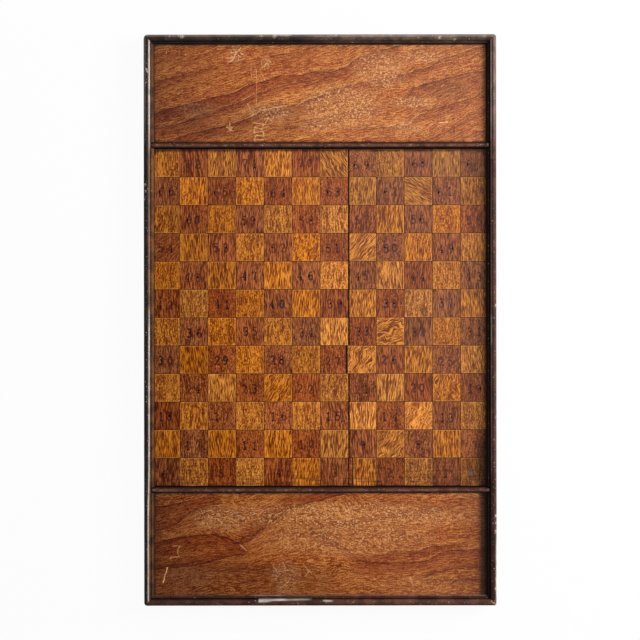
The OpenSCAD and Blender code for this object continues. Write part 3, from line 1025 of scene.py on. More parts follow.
def rounded_corner(x, y):
    """Pulls the points of the frame's corners back to their rounding."""
    at_left = np.where(y > 0, CORNER_RADII["left", "top"], CORNER_RADII["left", "bottom"])
    at_right = np.where(y > 0, CORNER_RADII["right", "top"], CORNER_RADII["right", "bottom"])
    radius = np.where(x < 0, at_left, at_right)
    over_x = np.abs(x) - (BOARD_WIDTH / 2 - radius)
    over_y = np.abs(y) - (BOARD_LENGTH / 2 - radius)
    reach = np.hypot(over_x, over_y)
    beyond = (over_x > 0) & (over_y > 0) & (reach > radius)
    pull = np.where(beyond, radius / np.maximum(reach, 1e-6), 1.0)
    new_x = np.sign(x) * (BOARD_WIDTH / 2 - radius + over_x * pull)
    new_y = np.sign(y) * (BOARD_LENGTH / 2 - radius + over_y * pull)
    return np.where(beyond, new_x, x), np.where(beyond, new_y, y)


def in_world(side, t, u):
    """Turns a place along a rail and inwards from its outer face into X and Y."""
    if side == "left":
        return u - BOARD_WIDTH / 2, -t
    if side == "right":
        return BOARD_WIDTH / 2 - u, t
    if side == "top":
        return -t, BOARD_LENGTH / 2 - u
    return t, u - BOARD_LENGTH / 2


# Brown streaks where the paint is rubbed down to its brown ground, which also paint the light on lit faces,
# and pale streaks where it is worn almost white, which are also painted highlights and glints: the half-width
# of the streak, and for places in X or Y along the rail how far in from the outer face it runs and how strong
# it is
BROWN_WEAR_AND_LIT_STREAKS = {
    "left": [(3.2, [
        (-355, 8.6, 0.65), (-237, 8.6, 0.65), (-187, 9.6, 0.75), (-12, 9.8, 0.8), (25, 9.6, 1.0),
        (199, 9.6, 1.0), (245, 9.4, 0.7), (345, 9.4, 0.7),
    ])],
    "right": [(2.0, [
        (-355, 1.0, 0.35), (-250, 1.2, 0.35), (-187, 1.6, 0.5), (-12, 1.6, 0.5), (25, 2.2, 0.6),
        (199, 2.4, 0.6), (245, 2.8, 0.75), (345, 2.8, 0.75),
    ])],
    "top": [
        (2.4, [(-219, 1.4, 0.85), (-20, 1.6, 0.85), (0, 2.2, 1.0), (219, 2.2, 1.0)]),
        (3.0, [(-219, 6.0, 0.15), (-20, 6.0, 0.2), (0, 6.6, 0.75), (190, 6.6, 0.75), (219, 6.0, 0.3)]),
        (0.9, [(-219, 12.2, 0.5), (219, 12.2, 0.6)]),
    ],
    "bottom": [
        (3.6, [(-219, 4.4, 0.2), (-60, 5.0, 0.35), (0, 6.0, 0.5), (60, 5.4, 0.75), (219, 5.2, 0.8)]),
        (1.3, [(-219, 12.0, 0.7), (219, 12.0, 1.0)]),
    ],
}
PALE_WEAR_AND_HIGHLIGHTS = {
    "left": [
        (0.65, [
            (-355, 5.7, 0.8), (-237, 5.7, 0.85), (-187, 6.8, 1.0), (-12, 7.0, 1.0), (20, 7.2, 0.15),
            (199, 7.2, 0.15), (240, 7.4, 1.0), (345, 7.4, 1.0),
        ]),
        (1.4, [(-355, 1.4, 0.0), (215, 1.4, 0.0), (245, 1.4, 0.2), (345, 1.4, 0.2)]),
    ],
    "right": [
        (0.5, [
            (-355, 6.8, 0.04), (-200, 6.8, 0.06), (-180, 6.8, 0.22), (-32, 6.8, 0.25), (-28, 6.8, 0.65),
            (2, 6.8, 0.65), (8, 6.8, 0.25), (199, 6.8, 0.25), (245, 6.8, 0.8), (345, 6.8, 0.8),
        ]),
        (0.9, [(-355, 0.4, 0.8), (-290, 0.4, 0.8), (-255, 0.4, 0.1), (200, 0.4, 0.0), (345, 0.8, 0.2)]),
        (1.2, [(-355, 2.6, 0.0), (215, 2.6, 0.0), (245, 2.6, 0.15), (345, 2.6, 0.15)]),
    ],
    "top": [
        (1.2, [(-219, 1.8, 0.15), (-20, 1.8, 0.15), (0, 2.4, 0.28), (219, 2.4, 0.22)]),
        (1.0, [(-54, 1.4, 0.0), (-50, 1.4, 0.6), (-38, 1.4, 0.6), (-32, 1.4, 0.0)]),
    ],
    "bottom": [
        (1.8, [(-77.5, 6.8, 0.0), (-75.5, 6.8, 1.0), (-66, 7.1, 1.0), (-58, 7.5, 0.0)]),
        (0.9, [
            (-70, 7.4, 0.0), (-66, 7.4, 1.0), (-46, 7.8, 0.95), (-38, 7.9, 0.6), (-14, 8.3, 0.5),
            (-10, 8.3, 0.0),
        ]),
        (0.9, [(2, 7.0, 0.0), (5, 6.7, 0.8), (12, 6.5, 0.8), (16, 6.5, 0.0)]),
        (0.7, [(-90, 12.1, 0.0), (-76, 12.1, 0.3), (-55, 12.1, 0.3), (-40, 12.1, 0.05), (219, 12.1, 0.15)]),
    ],
}
# Places on the frame where the paint is knocked off: X, Y and radius in millimetres
CHIPS = [
    (-171, 351.8, 2.4), (-174, 352.8, 1.6), (-186, 352, 1.0), (-73, 352.4, 1.2), (-56, 352.4, 2.4),
    (20, 353, 1.0), (88, 353.5, 0.9), (148.6, 350, 1.8), (167, 347.6, 1.2), (205, 352, 1.2),
    (-214.8, 310.6, 1.3), (-213.8, 308.4, 1.0), (218, -243, 1.6), (218, -252, 1.2), (217.6, -262, 1.4),
    (218, -322, 1.5), (217.6, -333, 1.4), (218, 18, 1.4), (217.6, -120, 1.0), (-217, 168, 1.5),
    (-216.5, 160, 1.2), (-217.5, 150, 1.0), (217, -353, 1.5), (214.5, -350.5, 1.2), (212.5, -348.5, 1.0),
    (40, -350, 0.8),
]


def streak_strength(streaks, along, across, ragged):
    """How strong the streaks of one rail are at every point: along it, and across it from its outer face."""
    total = np.zeros_like(along)
    for half_width, stops in streaks:
        places, middles, strengths = zip(*stops)
        middle = np.interp(along, places, middles)
        inside = np.clip(1.5 - np.abs(across - middle) / half_width, 0, 1)
        total = np.maximum(total, np.interp(along, places, strengths) * ragged * inside)
    return np.clip(total, 0, 1)


def nicked(along, across, seed):
    """How deep the small knocks are in the places that have them, and 0 elsewhere."""
    return np.clip(smooth_noise(along, across * 3, NICK_SIZE, seed) - 0.25, 0, 1)


def mould_rail(side, length, housings, paint):
    """One rail of the frame: the section run between its mitres, with dents, housings and chipped places."""
    section = moulding_section()
    normals = section_normals(section)
    stations = rail_stations(length, housings)
    across, z, exposure = (np.tile(numbers, (len(stations), 1)) for numbers in zip(*section))
    reach = length / 2 - MITRE_GLUE - across
    t = np.clip(stations[:, None].repeat(len(section), axis=1), -reach, reach)
    shown = (across < REBATE_WIDTH) | (z > LIP_Z + 0.1)
    seed = len(side)
    dents = 0.5 + 0.5 * smooth_noise(t, across * 2, DENT_SIZE, seed)
    nicks = nicked(t, across, seed + 20)
    depth = np.where(shown, LEAST_WEAR + dents * DENT_DEPTH + nicks * NICK_DEPTH * exposure, 0.0)
    u = across - normals[None, :, 0] * depth
    z = np.where(z < 0.01, z, z - normals[None, :, 1] * depth)
    for middle in housings:
        beside = np.abs(t - middle) < DIVIDER_WIDTH / 2 + HOUSING_PLAY
        cut = beside & (u > 2 * LARGE_BEAD_RADIUS - 0.3) & (z > FIELD_Z)
        u = np.where(cut & (u > REBATE_WIDTH), REBATE_WIDTH, u)
        z = np.where(cut, FIELD_Z, z)
    x, y = rounded_corner(*in_world(side, t, u))
    chipped = np.zeros_like(x)
    for chip_x, chip_y, radius in CHIPS:
        away = np.hypot(x - chip_x, y - chip_y)
        chipped = np.maximum(chipped, np.clip(1.4 - away / radius, 0, 1))
    along = y if side in ("left", "right") else x
    ragged = 0.9 + 0.35 * smooth_noise(t, u, RAGGED_SIZE, seed + 3)
    worn_and_lit_face = np.clip((z - WEAR_AND_LIGHT_FOOT) / WEAR_AND_LIGHT_FADE, 0, 1)
    handled = shown * np.where(across < LARGE_BEAD_RADIUS / 2, worn_and_lit_face, 1.0)
    # Brown and pale streaks hold painted highlights and light on lit faces as well as wear
    values = {
        "exposure": exposure,
        "chipped": handled * chipped,
        "brown": handled * streak_strength(BROWN_WEAR_AND_LIT_STREAKS[side], along, across, ragged),
        "pale": handled * streak_strength(PALE_WEAR_AND_HIGHLIGHTS[side], along, across, ragged),
    }
    mesh = skin(f"moulded_{side}_rail", np.stack([x, y, z], axis=2), values)
    clean(mesh, sharp=38)
    mesh.materials.append(paint)
    piece = link(f"moulded_{side}_rail", mesh)
    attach(piece, "root")
    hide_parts(f"{side}_rail")


def turn_divider(name, middle_y, paint):
    """One half-round bead, worn along its crown and rounded at its ends. A painted highlight runs along the
    crown and shows at the right end, and painted shade runs down its sides.
    """
    radius = (DIVIDER_WIDTH ** 2 / 4 + DIVIDER_HEIGHT ** 2) / (2 * DIVIDER_HEIGHT)
    spread = math.asin(DIVIDER_WIDTH / 2 / radius)
    angles = np.linspace(-spread, spread, 15)
    section = (
        np.append(radius * np.sin(angles), [2.0, -2.0]),
        np.append(radius * np.cos(angles) - radius + DIVIDER_HEIGHT, [0.0, 0.0]),
        np.append(np.cos(angles) ** 3, [0.0, 0.0]),
    )
    half = DIVIDER_HALF_LENGTH
    stations = np.concatenate([
        np.linspace(-half, -half + DIVIDER_ROUNDING, 7)[:-1],
        np.arange(-half + DIVIDER_ROUNDING, half - DIVIDER_ROUNDING, STATION),
        np.linspace(half - DIVIDER_ROUNDING, half, 7),
    ])
    v, h, crown = (np.tile(numbers, (len(stations), 1)) for numbers in section)
    t = stations[:, None].repeat(v.shape[1], axis=1)
    from_end = np.clip(half - np.abs(t), 0, DIVIDER_ROUNDING) / DIVIDER_ROUNDING
    rounding = np.sqrt(np.clip(1 - (1 - from_end) ** 2, 0.02, 1))
    wear = 0.5 + 0.5 * smooth_noise(t, v, DIVIDER_WEAR_SIZE, middle_y)
    nicks = nicked(t, v, middle_y + 9)
    height = h * (0.45 + 0.55 * rounding) - crown * (0.05 + 0.18 * wear + 0.3 * nicks)
    width = v * (0.8 + 0.2 * rounding)
    rings = np.stack([t, middle_y + width, FIELD_Z + np.maximum(height, 0.0)], axis=2)
    # Pale scrapes at the nicks of the crown and a painted highlight at the right end; the brown streak along
    # the crown is a painted highlight, and the low exposure of the sides gives painted shade
    pale = 0.3 * np.exp(-((v + 0.1) / 0.8) ** 2) * np.clip(nicks * 4, 0, 1)
    values = {
        "exposure": crown,
        "chipped": np.zeros_like(t),
        "brown": np.clip(1.4 - np.abs(v + 0.5) / 1.7, 0, 1) * (0.4 + 0.55 * wear),
        "pale": np.maximum(pale, 0.35 * (t > half - 3) * (crown > 0.5)),
    }
    mesh = skin(f"bead_{name}", rings, values)
    clean(mesh, sharp=50)
    mesh.materials.append(paint)
    piece = link(f"bead_{name}", mesh)
    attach(piece, "root")
    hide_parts(name)


# Tray floors

# The spacing of the grid, a distance that no line reaches, how far rings and scratches fade out beyond
# their ends, the depth of the worn patches, how far from a ring the fibres still follow it, the length of
# the waves of the rings, and the length and the reach of the tremble of a scratch
TRAY_GRID = 1.25
FAR = 99.0
RING_FADE = 8.0
SCRATCH_FADE = 1.5
WORN_DEPTH = 0.04
FIBRE_BEND = 18.0
WAVE_SIZE = 20.0
TREMBLE_SIZE = 3.5
TREMBLE_REACH = 0.9

# Growth rings: the side of the line on which the dark late wood lies, how far it reaches, how strong the
# ring is, and X and Y along its line
TOP_RINGS = [
    ("under", 12, 0.3, [(-207, 320), (-162, 328), (-133, 334), (-102, 341)]),
    ("under", 20, 0.55, [
        (-209, 294), (-189, 301), (-158, 309), (-118, 318), (-92, 323), (-32, 333), (-5, 341),
    ]),
    ("under", 15, 1.0, [
        (-209, 255), (-196, 261), (-176, 266), (-145, 274), (-107, 283), (-89, 293), (-67, 298), (-50, 304),
        (-24, 305), (-8, 309), (15, 309), (32, 314), (41, 322), (51, 328), (77, 336), (97, 341),
    ]),
    ("under", 12, 0.75, [
        (-209, 238), (-182, 243), (-167, 248), (-141, 259), (-105, 269), (-87, 278), (-65, 286), (-36, 294),
        (-16, 298), (17, 304),
    ]),
    ("under", 15, 0.85, [
        (-184, 223), (-162, 233), (-141, 237), (-112, 243), (-90, 251), (-73, 259), (-51, 264), (-26, 268),
        (-9, 275), (23, 289), (50, 294), (75, 300), (101, 305), (132, 312),
    ]),
    ("under", 5, 0.7, [(132, 312), (153, 325), (192, 337), (210, 341)]),
    ("under", 9, 0.45, [(100, 327), (117, 334), (132, 341)]),
    ("under", 24, 0.75, [
        (113, 280), (116, 288), (129, 293), (149, 298), (167, 303), (182, 307), (210, 311),
    ]),
    ("under", 11, 0.5, [
        (-42, 239), (-24, 241), (-9, 245), (17, 255), (37, 260), (62, 265), (88, 270), (132, 271),
    ]),
    ("under", 12, 0.6, [
        (37, 237), (61, 240), (97, 240), (111, 244), (118, 252), (133, 260), (154, 265), (192, 277),
        (210, 289),
    ]),
    ("under", 12, 0.5, [(131, 223), (157, 234), (176, 244), (188, 255), (210, 265)]),
    ("under", 9, 0.3, [(162, 223), (185, 231), (210, 235)]),
]
BOTTOM_RINGS = [
    ("under", 27, 0.7, [(-212, -234), (-196, -232), (-170, -227), (-145, -221), (-135, -217)]),
    ("above", 14, 0.7, [
        (-212, -264), (-196, -260), (-178, -253), (-166, -242), (-155, -236), (-142, -231), (-130, -229),
    ]),
    ("under", 24, 0.9, [
        (-212, -279), (-196, -275), (-176, -271), (-150, -268), (-131, -267), (-115, -272), (-101, -278),
    ]),
    ("above", 18, 0.8, [(-212, -311), (-167, -307), (-132, -300), (-117, -295), (-105, -292), (-94, -292)]),
    ("above", 16, 0.9, [
        (-101, -280), (-87, -275), (-76, -264), (-62, -252), (-51, -245), (-42, -236), (-25, -231),
        (6, -223),
        (27, -217),
    ]),
    ("above", 10, 0.5, [(-11, -262), (16, -260), (50, -255), (73, -250), (107, -244)]),
    ("under", 11, 0.7, [
        (-8, -266), (12, -274), (26, -280), (37, -290), (57, -296), (75, -294), (95, -288), (114, -289),
        (144, -282), (174, -280),
    ]),
    ("under", 17, 0.8, [
        (48, -300), (63, -303), (113, -302), (133, -300), (144, -293), (162, -288), (198, -286),
        (210, -285),
    ]),
    ("above", 14, 0.7, [(133, -320), (142, -316), (157, -312), (179, -309), (210, -309)]),
    ("under", 9, 0.5, [(134, -323), (156, -324), (210, -323)]),
    ("under", 12, 0.6, [(154, -226), (163, -224), (185, -222), (210, -222)]),
    ("above", 9, 0.6, [(124, -240), (142, -239), (162, -235), (169, -232)]),
    ("above", 14, 0.4, [(-150, -313), (-112, -313), (-72, -316), (-25, -321), (12, -329)]),
]
# Scrubbed patches with curled scratches: X, Y, half-lengths along X and Y, and strength
TOP_WORN = [
    (-104, 331, 11, 13, 1.0), (-67, 320, 9, 9, 0.9), (-155, 263, 30, 12, 0.45), (26, 266, 60, 34, 0.8),
    (75, 312, 40, 28, 0.7), (84, 292, 8, 6, 0.9), (126, 328, 36, 9, 0.65), (-61, 259, 36, 13, 0.85),
    (116, 271, 34, 9, 0.75), (107, 240, 26, 11, 0.65), (-3, 242, 28, 9, 0.75),
]
BOTTOM_WORN = [
    (22, -244, 200, 20, 0.85), (-123, -247, 46, 19, 1.0), (28, -271, 130, 28, 0.65),
    (-44, -321, 24, 26, 0.75),
    (-165, -320, 40, 16, 0.3), (130, -330, 70, 14, 0.3),
]
# Single pale scratches: width, strength, and X and Y along each
TOP_SCRATCHES = [
    (1.6, 1.0, [(149.3, 245.7), (159.3, 246.5)]),
    (1.0, 0.7, [(97, 240.3), (110.2, 244), (118.2, 252), (124.4, 256.4), (133.2, 260.1)]),
    (0.9, 0.5, [(41, 237.8), (60.9, 240.3), (73.4, 240), (90.8, 242.2)]),
    (1.0, 0.6, [(-89.8, 252.1), (-73.1, 261.3), (-51.2, 266.2), (-41.2, 267)]),
    (1.0, 0.6, [(-30, 266.4), (-17.5, 273.9), (-6.3, 277.6)]),
    (0.9, 0.6, [(-97.3, 273.9), (-87.3, 279.5)]),
    (1.0, 0.55, [(-79.1, 313.7), (-78.6, 292.6), (-79.3, 268.9)]),
    (0.8, 0.45, [(-86.1, 318.7), (-85.4, 302.5)]),
    (0.9, 0.6, [(-74, 308), (-67.7, 299.2)]),
    (1.2, 0.85, [(-72.4, 315), (-68.6, 317), (-66.1, 321.2), (-64.1, 323.2), (-61.8, 322.5)]),
    (1.0, 0.7, [(-89.8, 268.9), (-88.5, 265.2), (-86.1, 262.7)]),
    (0.9, 0.6, [(-54.9, 252.7), (-40, 254.7)]),
    (1.0, 0.7, [(-67.7, 244.9), (-64.1, 252.8), (-59.9, 247.1)]),
    (1.1, 0.8, [(-112.5, 246.5), (-112.2, 240.3)]),
    (1.1, 0.8, [(-116.6, 240.9), (-108.5, 235.3)]),
    (1.1, 0.8, [(-107.8, 240.9), (-115.9, 234.7)]),
    (1.1, 0.8, [
        (-82.3, 245.9), (-69.9, 244), (-72.4, 238.4), (-81.1, 240.3), (-81.7, 234), (-70.5, 235.3),
        (-69.9, 229),
        (-79.8, 230.3), (-82.3, 224.7), (-71.1, 224.7),
    ]),
    (1.2, 0.9, [(151.1, 290.2), (154.7, 292.9)]),
    (1.2, 0.9, [(-113.5, 321.2), (-108.5, 323.7), (-103.5, 333.7), (-98.5, 339.9)]),
    (1.1, 0.8, [(-117.2, 326.2), (-111, 327.4)]),
    (1.2, 0.7, [(-191.4, 334.9), (-191.4, 331.8)]),
    (1.2, 0.7, [(-169.5, 331.2), (-166.4, 330.6)]),
]
BOTTOM_SCRATCHES = [
    (1.7, 0.95, [(-190.4, -307.8), (-193.2, -316.5), (-195.9, -327.1)]),
    (1.0, 0.5, [(-184.4, -281.6), (-174.5, -281.6), (-178.2, -285.3), (-177, -292.2)]),
    (1.0, 0.5, [(-175.7, -294.7), (-185.7, -295.3), (-186.9, -297.8)]),
    (1.2, 0.7, [(-100.4, -279.7), (-92.3, -287.2)]),
    (1.0, 0.3, [(-186.9, -242.4), (-179.5, -241.8)]),
    (0.9, 0.5, [(-11, -262), (16, -260), (50, -255), (73, -250)]),
    (3.0, 0.35, [(111.4, -320.2), (115.7, -331.4)]),
    (1.2, 0.5, [(75.9, -331.4), (79.6, -330.2)]),
    (1.0, 0.5, [(-18.8, -307.8), (-11.3, -315.2)]),
    (1.0, 0.5, [(-20, -320.2), (-13.8, -312.7)]),
    (1.0, 0.4, [(-58.7, -306.5), (-54.9, -312.7)]),
    (1.0, 0.4, [(-47.4, -301.5), (-43.7, -309)]),
    (1.0, 0.5, [(-49.9, -333.9), (-41.2, -327.7), (-37.5, -322.7)]),
    (1.0, 0.4, [(-56.2, -314), (-35, -311.5)]),
]
# How deep the stain lies at places in X
TOP_STAIN = [
    (-211, 1.0), (-203, 0.65), (-190, 0.52), (-150, 0.3), (-125, 0.1), (-80, 0.0), (110, 0.0), (150, 0.1),
    (210, 0.12),
]
BOTTOM_STAIN = [
    (-211, 1.0), (-203, 0.84), (-190, 0.72), (-140, 0.45), (-60, 0.28), (40, 0.12), (210, 0.12),
]
# The stain along the lower edge of the bottom tray: its depth at places in X, and the Y where it ends
LOWER_STAIN = [(-210, 0.0), (-150, 0.3), (0, 0.3), (60, 0.1)]
LOWER_STAIN_TOP = -295.0
# How strongly the late wood of the top tray shows, at places in X
TOP_LATE = [(-210, 1.0), (-90, 1.0), (-20, 0.75), (40, 0.7), (110, 0.7), (210, 0.65)]
# Darker patches of the top tray, given as the scrubbed ones are
TOP_DARK = [(-100, 250, 110, 32, 0.34), (162, 287, 36, 15, 0.3)]
# How thick the dirt and the painted shadow of the right rail lie towards it, at places in X
TOP_SOOT_AND_SHADOW = [(205.6, 0.0), (208.0, 0.75)]
BOTTOM_SOOT_AND_SHADOW = [(195.9, 0.0), (200.9, 0.78)]


def shared_rise(x, rings):
    """How far the rings of a tray rise on average from its middle to each place in X."""
    steps = np.linspace(-TRAY_FLOOR_HALF_WIDTH, TRAY_FLOOR_HALF_WIDTH, 85)
    rise = np.zeros(steps.shape)
    count = np.full(steps.shape, 0.5)
    for *_, points in rings:
        at, heights = np.array(points, dtype=float).T
        inside = (steps > at[0]) & (steps < at[-1])
        rise += inside * np.gradient(np.interp(steps, at, heights), steps)
        count += inside
    height = np.cumsum(rise / count) * (steps[1] - steps[0])
    return np.interp(x, steps, height - height[len(steps) // 2])


def ring_values(x, y, rings):
    """The signed distance to the nearest ring line and its strength, the late wood beside the rings, and the
    height from which the fibres are drawn so that they bend along the rings."""
    near = np.full(x.shape, FAR)
    line = np.zeros(x.shape)
    late = np.zeros(x.shape)
    common = shared_rise(x, rings)
    bend = np.zeros(x.shape)
    share = np.full(x.shape, 0.7)
    for side, reach, strength, points in rings:
        at, heights = np.array(points, dtype=float).T
        height = np.interp(x, at, heights)
        slope = np.interp(x, (at[1:] + at[:-1]) / 2, np.diff(heights) / np.diff(at))
        off = (y - height) / np.hypot(1.0, slope)
        past_end = np.maximum(at[0] - x, x - at[-1])
        shown = strength * np.clip(1 - past_end / RING_FADE, 0, 1)
        closer = (np.abs(off) < np.abs(near)) & (shown > 0)
        near = np.where(closer, off, near)
        line = np.where(closer, shown * np.clip(2 - np.abs(off) / 3, 0, 1), line)
        depth = -off if side == "under" else off
        inside = shown * np.clip(1 - depth / reach, 0, 1) ** 0.65
        late = np.maximum(late, np.where(depth > 0, inside, 0))
        weight = np.exp(-(off / FIBRE_BEND) ** 2 - (np.maximum(past_end, 0) / FIBRE_BEND) ** 2)
        inner = np.clip(x, at[0], at[-1])
        own = np.interp(inner, at, heights) - shared_rise(inner, rings)
        bend += weight * (own - np.mean(heights - shared_rise(at, rings)))
        share += weight
    return {"ring_off": near, "ring": line, "late": late, "lift": y - common - bend / share}


def scratch_values(x, y, scratches):
    """The signed distance to the nearest scratch in widths of the scratch, and how strong it is there."""
    near = np.full(x.shape, FAR)
    mark = np.zeros(x.shape)
    for width, strength, points in scratches:
        for (ax, ay), (bx, by) in zip(points, points[1:]):
            length = math.hypot(bx - ax, by - ay)
            along = ((x - ax) * (bx - ax) + (y - ay) * (by - ay)) / length
            off = ((x - ax) * (by - ay) - (y - ay) * (bx - ax)) / length
            past_end = np.maximum(-along, along - length)
            shown = strength * np.clip(1 - past_end / SCRATCH_FADE, 0, 1) * np.clip(2 - np.abs(off) / 2, 0, 1)
            closer = (np.abs(off) / width < np.abs(near)) & (shown > 0)
            near = np.where(closer, off / width, near)
            mark = np.where(closer, shown, mark)
    return {"mark_off": near, "mark": mark}


def patch_strength(x, y, patches):
    """How strong the strongest of some oval patches is at every point."""
    strongest = np.zeros(x.shape)
    for middle_x, middle_y, half_x, half_y, strength in patches:
        inside = 1 - np.hypot((x - middle_x) / half_x, (y - middle_y) / half_y)
        strongest = np.maximum(strongest, strength * np.clip(inside * 2.2, 0, 1))
    return strongest


def tray_values(x, y, rings, patches, scratches, stain):
    """Everything that the wood of a tray floor shows, at every point of it."""
    waver = smooth_noise(x, y * 2, WAVE_SIZE, 3)
    shake_x, shake_y = (TREMBLE_REACH * smooth_noise(x, y, TREMBLE_SIZE, seed) for seed in (11, 12))
    numbers = ring_values(x, y + waver, rings)
    numbers.update(scratch_values(x + shake_x, y + shake_y, scratches))
    numbers["worn"] = patch_strength(x, y, patches)
    numbers["stain"] = from_table(x, stain)
    return numbers


def board_faces(columns, lines):
    """Faces of a board with a grid of points on top and, after them in the list, its four lower corners."""
    faces = []
    for i in range(lines - 1):
        for j in range(columns - 1):
            first = i * columns + j
            faces.append((first, first + 1, first + columns + 1, first + columns))
    last = lines * columns
    edges = [
        range(columns),
        range(columns - 1, last, columns),
        range(last - 1, last - columns - 1, -1),
        range(last - columns, -1, -columns),
    ]
    for i, edge in enumerate(edges):
        faces.append([*edge[::-1], last + i, last + (i + 1) % 4])
    faces.append((last + 3, last + 2, last + 1, last))
    return faces


def lay_tray_floor(name, low_y, high_y, values, wood):
    """A board with a fine grid of points on top, which carry its rings, scratches and patches."""
    columns = int(2 * TRAY_FLOOR_HALF_WIDTH / TRAY_GRID) + 1
    lines = int((high_y - low_y) / TRAY_GRID) + 1
    x, y = np.meshgrid(
        np.linspace(-TRAY_FLOOR_HALF_WIDTH, TRAY_FLOOR_HALF_WIDTH, columns),
        np.linspace(low_y, high_y, lines),
    )
    numbers = values(x, y)
    top = np.stack([x, y, np.full(x.shape, FIELD_Z)], axis=2)
    top[..., 2] -= WORN_DEPTH * numbers["worn"]
    under = top[[0, 0, -1, -1], [0, -1, -1, 0]].copy()
    under[:, 2] = BASE_TOP
    points = np.concatenate([top.reshape(-1, 3), under])
    mesh = bpy.data.meshes.new(name)
    mesh.from_pydata((points * MM).tolist(), [], board_faces(columns, lines))
    give_values(mesh, {key: np.append(number, [0.0] * 4) for key, number in numbers.items()})
    mesh.materials.append(wood)
    piece = link(f"board_{name}", mesh)
    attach(piece, "root")
    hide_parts(name)


def top_tray_values(x, y):
    """What shows on the top tray's floor, with dirt and painted shadow only against the right rail."""
    numbers = tray_values(x, y, TOP_RINGS, TOP_WORN, TOP_SCRATCHES, TOP_STAIN)
    numbers["soot_and_shadow"] = from_table(x, TOP_SOOT_AND_SHADOW)
    numbers["late"] *= from_table(x, TOP_LATE)
    numbers["stain"] += patch_strength(x, y, TOP_DARK)
    return numbers


def bottom_tray_values(x, y):
    """What shows on the bottom tray's floor, with a straight-edged band of dirt and painted shadow along
    the right rail and a stain along its lower edge, deeper towards the left."""
    numbers = tray_values(x, y, BOTTOM_RINGS, BOTTOM_WORN, BOTTOM_SCRATCHES, BOTTOM_STAIN)
    numbers["soot_and_shadow"] = from_table(x, BOTTOM_SOOT_AND_SHADOW)
    numbers["stain"] += from_table(x, LOWER_STAIN) * np.clip((LOWER_STAIN_TOP - y) / 15, 0, 1)
    return numbers


# Floor, light and camera

CAMERA_HEIGHT = 1551.0
CAMERA_LEFT = 0.2
CAMERA_LENS = 70.0
CAMERA_ROLL = -0.07
# The floor's sweep up into the backdrop, as distance from the middle and height, in metres
FLOOR_SWEEP = [(9.0, 0.0), (10.5, 0.1), (11.5, 0.6), (12.0, 1.6), (12.0, 3.2)]
FLOOR_SIDES = 64


def set_camera():
    """The camera hangs over the middle of the board, looks straight down and is rolled a trace."""
    data = bpy.data.cameras.new("camera")
    data.lens = CAMERA_LENS
    data.sensor_width = 36.0
    camera = link("camera", data)
    camera.location = (-CAMERA_LEFT * MM, 0.0, (FIELD_Z + CAMERA_HEIGHT) * MM)
    camera.rotation_mode = "QUATERNION"
    camera.rotation_quaternion = Quaternion((0, 0, 1), math.radians(CAMERA_ROLL))
    bpy.context.scene.camera = camera


def set_floor():
    """A wide pale floor that sweeps up into a low backdrop. The camera sees both as white, with the soft
    shadow of the board left on the floor."""
    material, tree = new_material("studio_floor")
    paths = add(tree, "ShaderNodeLightPath").outputs
    seen = paths["Is Camera Ray"]
    for path in ("Is Glossy Ray", "Is Transmission Ray"):
        seen = add(tree, MATH, [seen, paths[path]], operation="MAXIMUM")
    paint = add(tree, "ShaderNodeBsdfDiffuse", {"Color": colour("#F4F4F4")})
    glow = add(tree, "ShaderNodeEmission", {"Color": colour("#FFFFFF"), "Strength": 1.0})
    share = add(tree, MATH, [seen, 0.94], operation="MULTIPLY")
    mixed = add(tree, "ShaderNodeMixShader", [share, paint, glow])
    add(tree, "ShaderNodeOutputMaterial", {"Surface": mixed})
    turns = [2 * math.pi * step / FLOOR_SIDES for step in range(FLOOR_SIDES)]
    points = [(out * math.cos(a), out * math.sin(a), height) for out, height in FLOOR_SWEEP for a in turns]
    faces = [tuple(range(FLOOR_SIDES))]
    for first in range(0, len(points) - FLOOR_SIDES, FLOOR_SIDES):
        for side in range(FLOOR_SIDES):
            near, after = first + side, first + (side + 1) % FLOOR_SIDES
            faces.append((near, near + FLOOR_SIDES, after + FLOOR_SIDES, after))
    mesh = bpy.data.meshes.new("studio_floor")
    mesh.from_pydata(points, [], faces)
    mesh.materials.append(material)
    link("studio_floor", mesh)


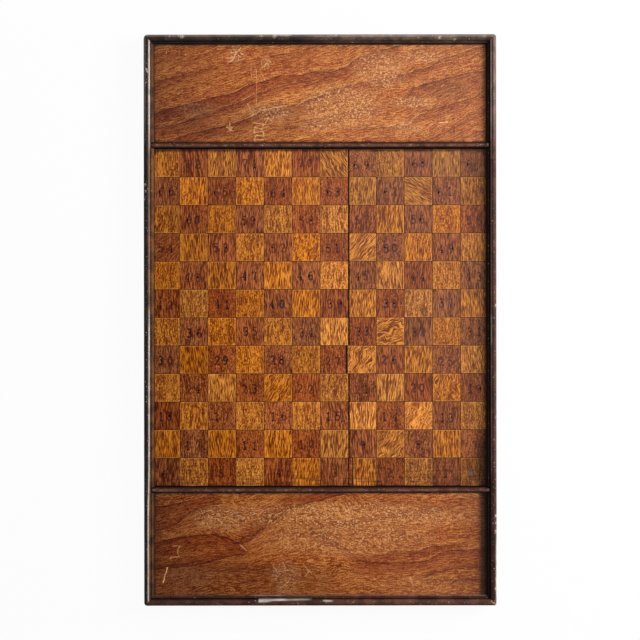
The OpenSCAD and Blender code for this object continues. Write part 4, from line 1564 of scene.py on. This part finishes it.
def set_light():
    """A soft lamp on the right, a weaker one beyond the top end, and even light all round."""
    world = bpy.data.worlds.new("studio")
    world.use_nodes = True
    tree = world.node_tree
    tree.nodes.clear()
    even = add(tree, "ShaderNodeBackground", {"Color": colour("#FFFFFF"), "Strength": 0.42})
    add(tree, "ShaderNodeOutputWorld", {"Surface": even})
    bpy.context.scene.world = world
    for name, place, size, power in (
        ("right_lamp", (1.4, 0.4, 0.9), 0.7, 28.0),
        ("top_lamp", (0.1, 1.6, 0.95), 0.8, 5.0),
    ):
        lamp = bpy.data.lights.new(name, "AREA")
        lamp.shape = "SQUARE"
        lamp.size = size
        lamp.energy = power
        lamp_object = link(name, lamp)
        lamp_object.location = place
        lamp_object.rotation_mode = "QUATERNION"
        lamp_object.rotation_quaternion = (-lamp_object.location).to_track_quat("-Z", "Y")


def assemble():
    """Makes every piece in turn."""
    set_camera()
    set_floor()
    set_light()
    bpy.context.scene.view_settings.view_transform = "Standard"
    light_oak = light_oak_material()
    dark_oak = dark_oak_material()
    dark_rows = lay_squares(light_oak, dark_oak)
    stamp_numbers(dark_rows, stamp_ink_material())
    set_filler(dark_oak)
    board = tray_board_material()
    end = BOARD_LENGTH / 2 - TRAY_FLOOR_FROM_END
    lay_tray_floor("top_tray_floor", FIELD_TOP + TRAY_FLOOR_GAP, end, top_tray_values, board)
    lay_tray_floor("bottom_tray_floor", -end, FIELD_BOTTOM - TRAY_FLOOR_GAP, bottom_tray_values, board)
    black, rubbed, brown, bead_brown = [paint_material(name, *shades) for name, shades in PAINTS.items()]
    mould_rail("left", BOARD_LENGTH, [-TOP_DIVIDER_Y, -BOTTOM_DIVIDER_Y], rubbed)
    mould_rail("right", BOARD_LENGTH, [TOP_DIVIDER_Y, BOTTOM_DIVIDER_Y], brown)
    mould_rail("top", BOARD_WIDTH, [], black)
    mould_rail("bottom", BOARD_WIDTH, [], brown)
    turn_divider("top_divider", TOP_DIVIDER_Y, bead_brown)
    turn_divider("bottom_divider", BOTTOM_DIVIDER_Y, bead_brown)
    steel = brad_steel_material()
    for node in ("rail_brads", "mitre_brads", "divider_brads"):
        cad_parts[node].material_slots[0].material = steel
    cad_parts["base_panel"].material_slots[0].material = base_pine_material()


assemble()
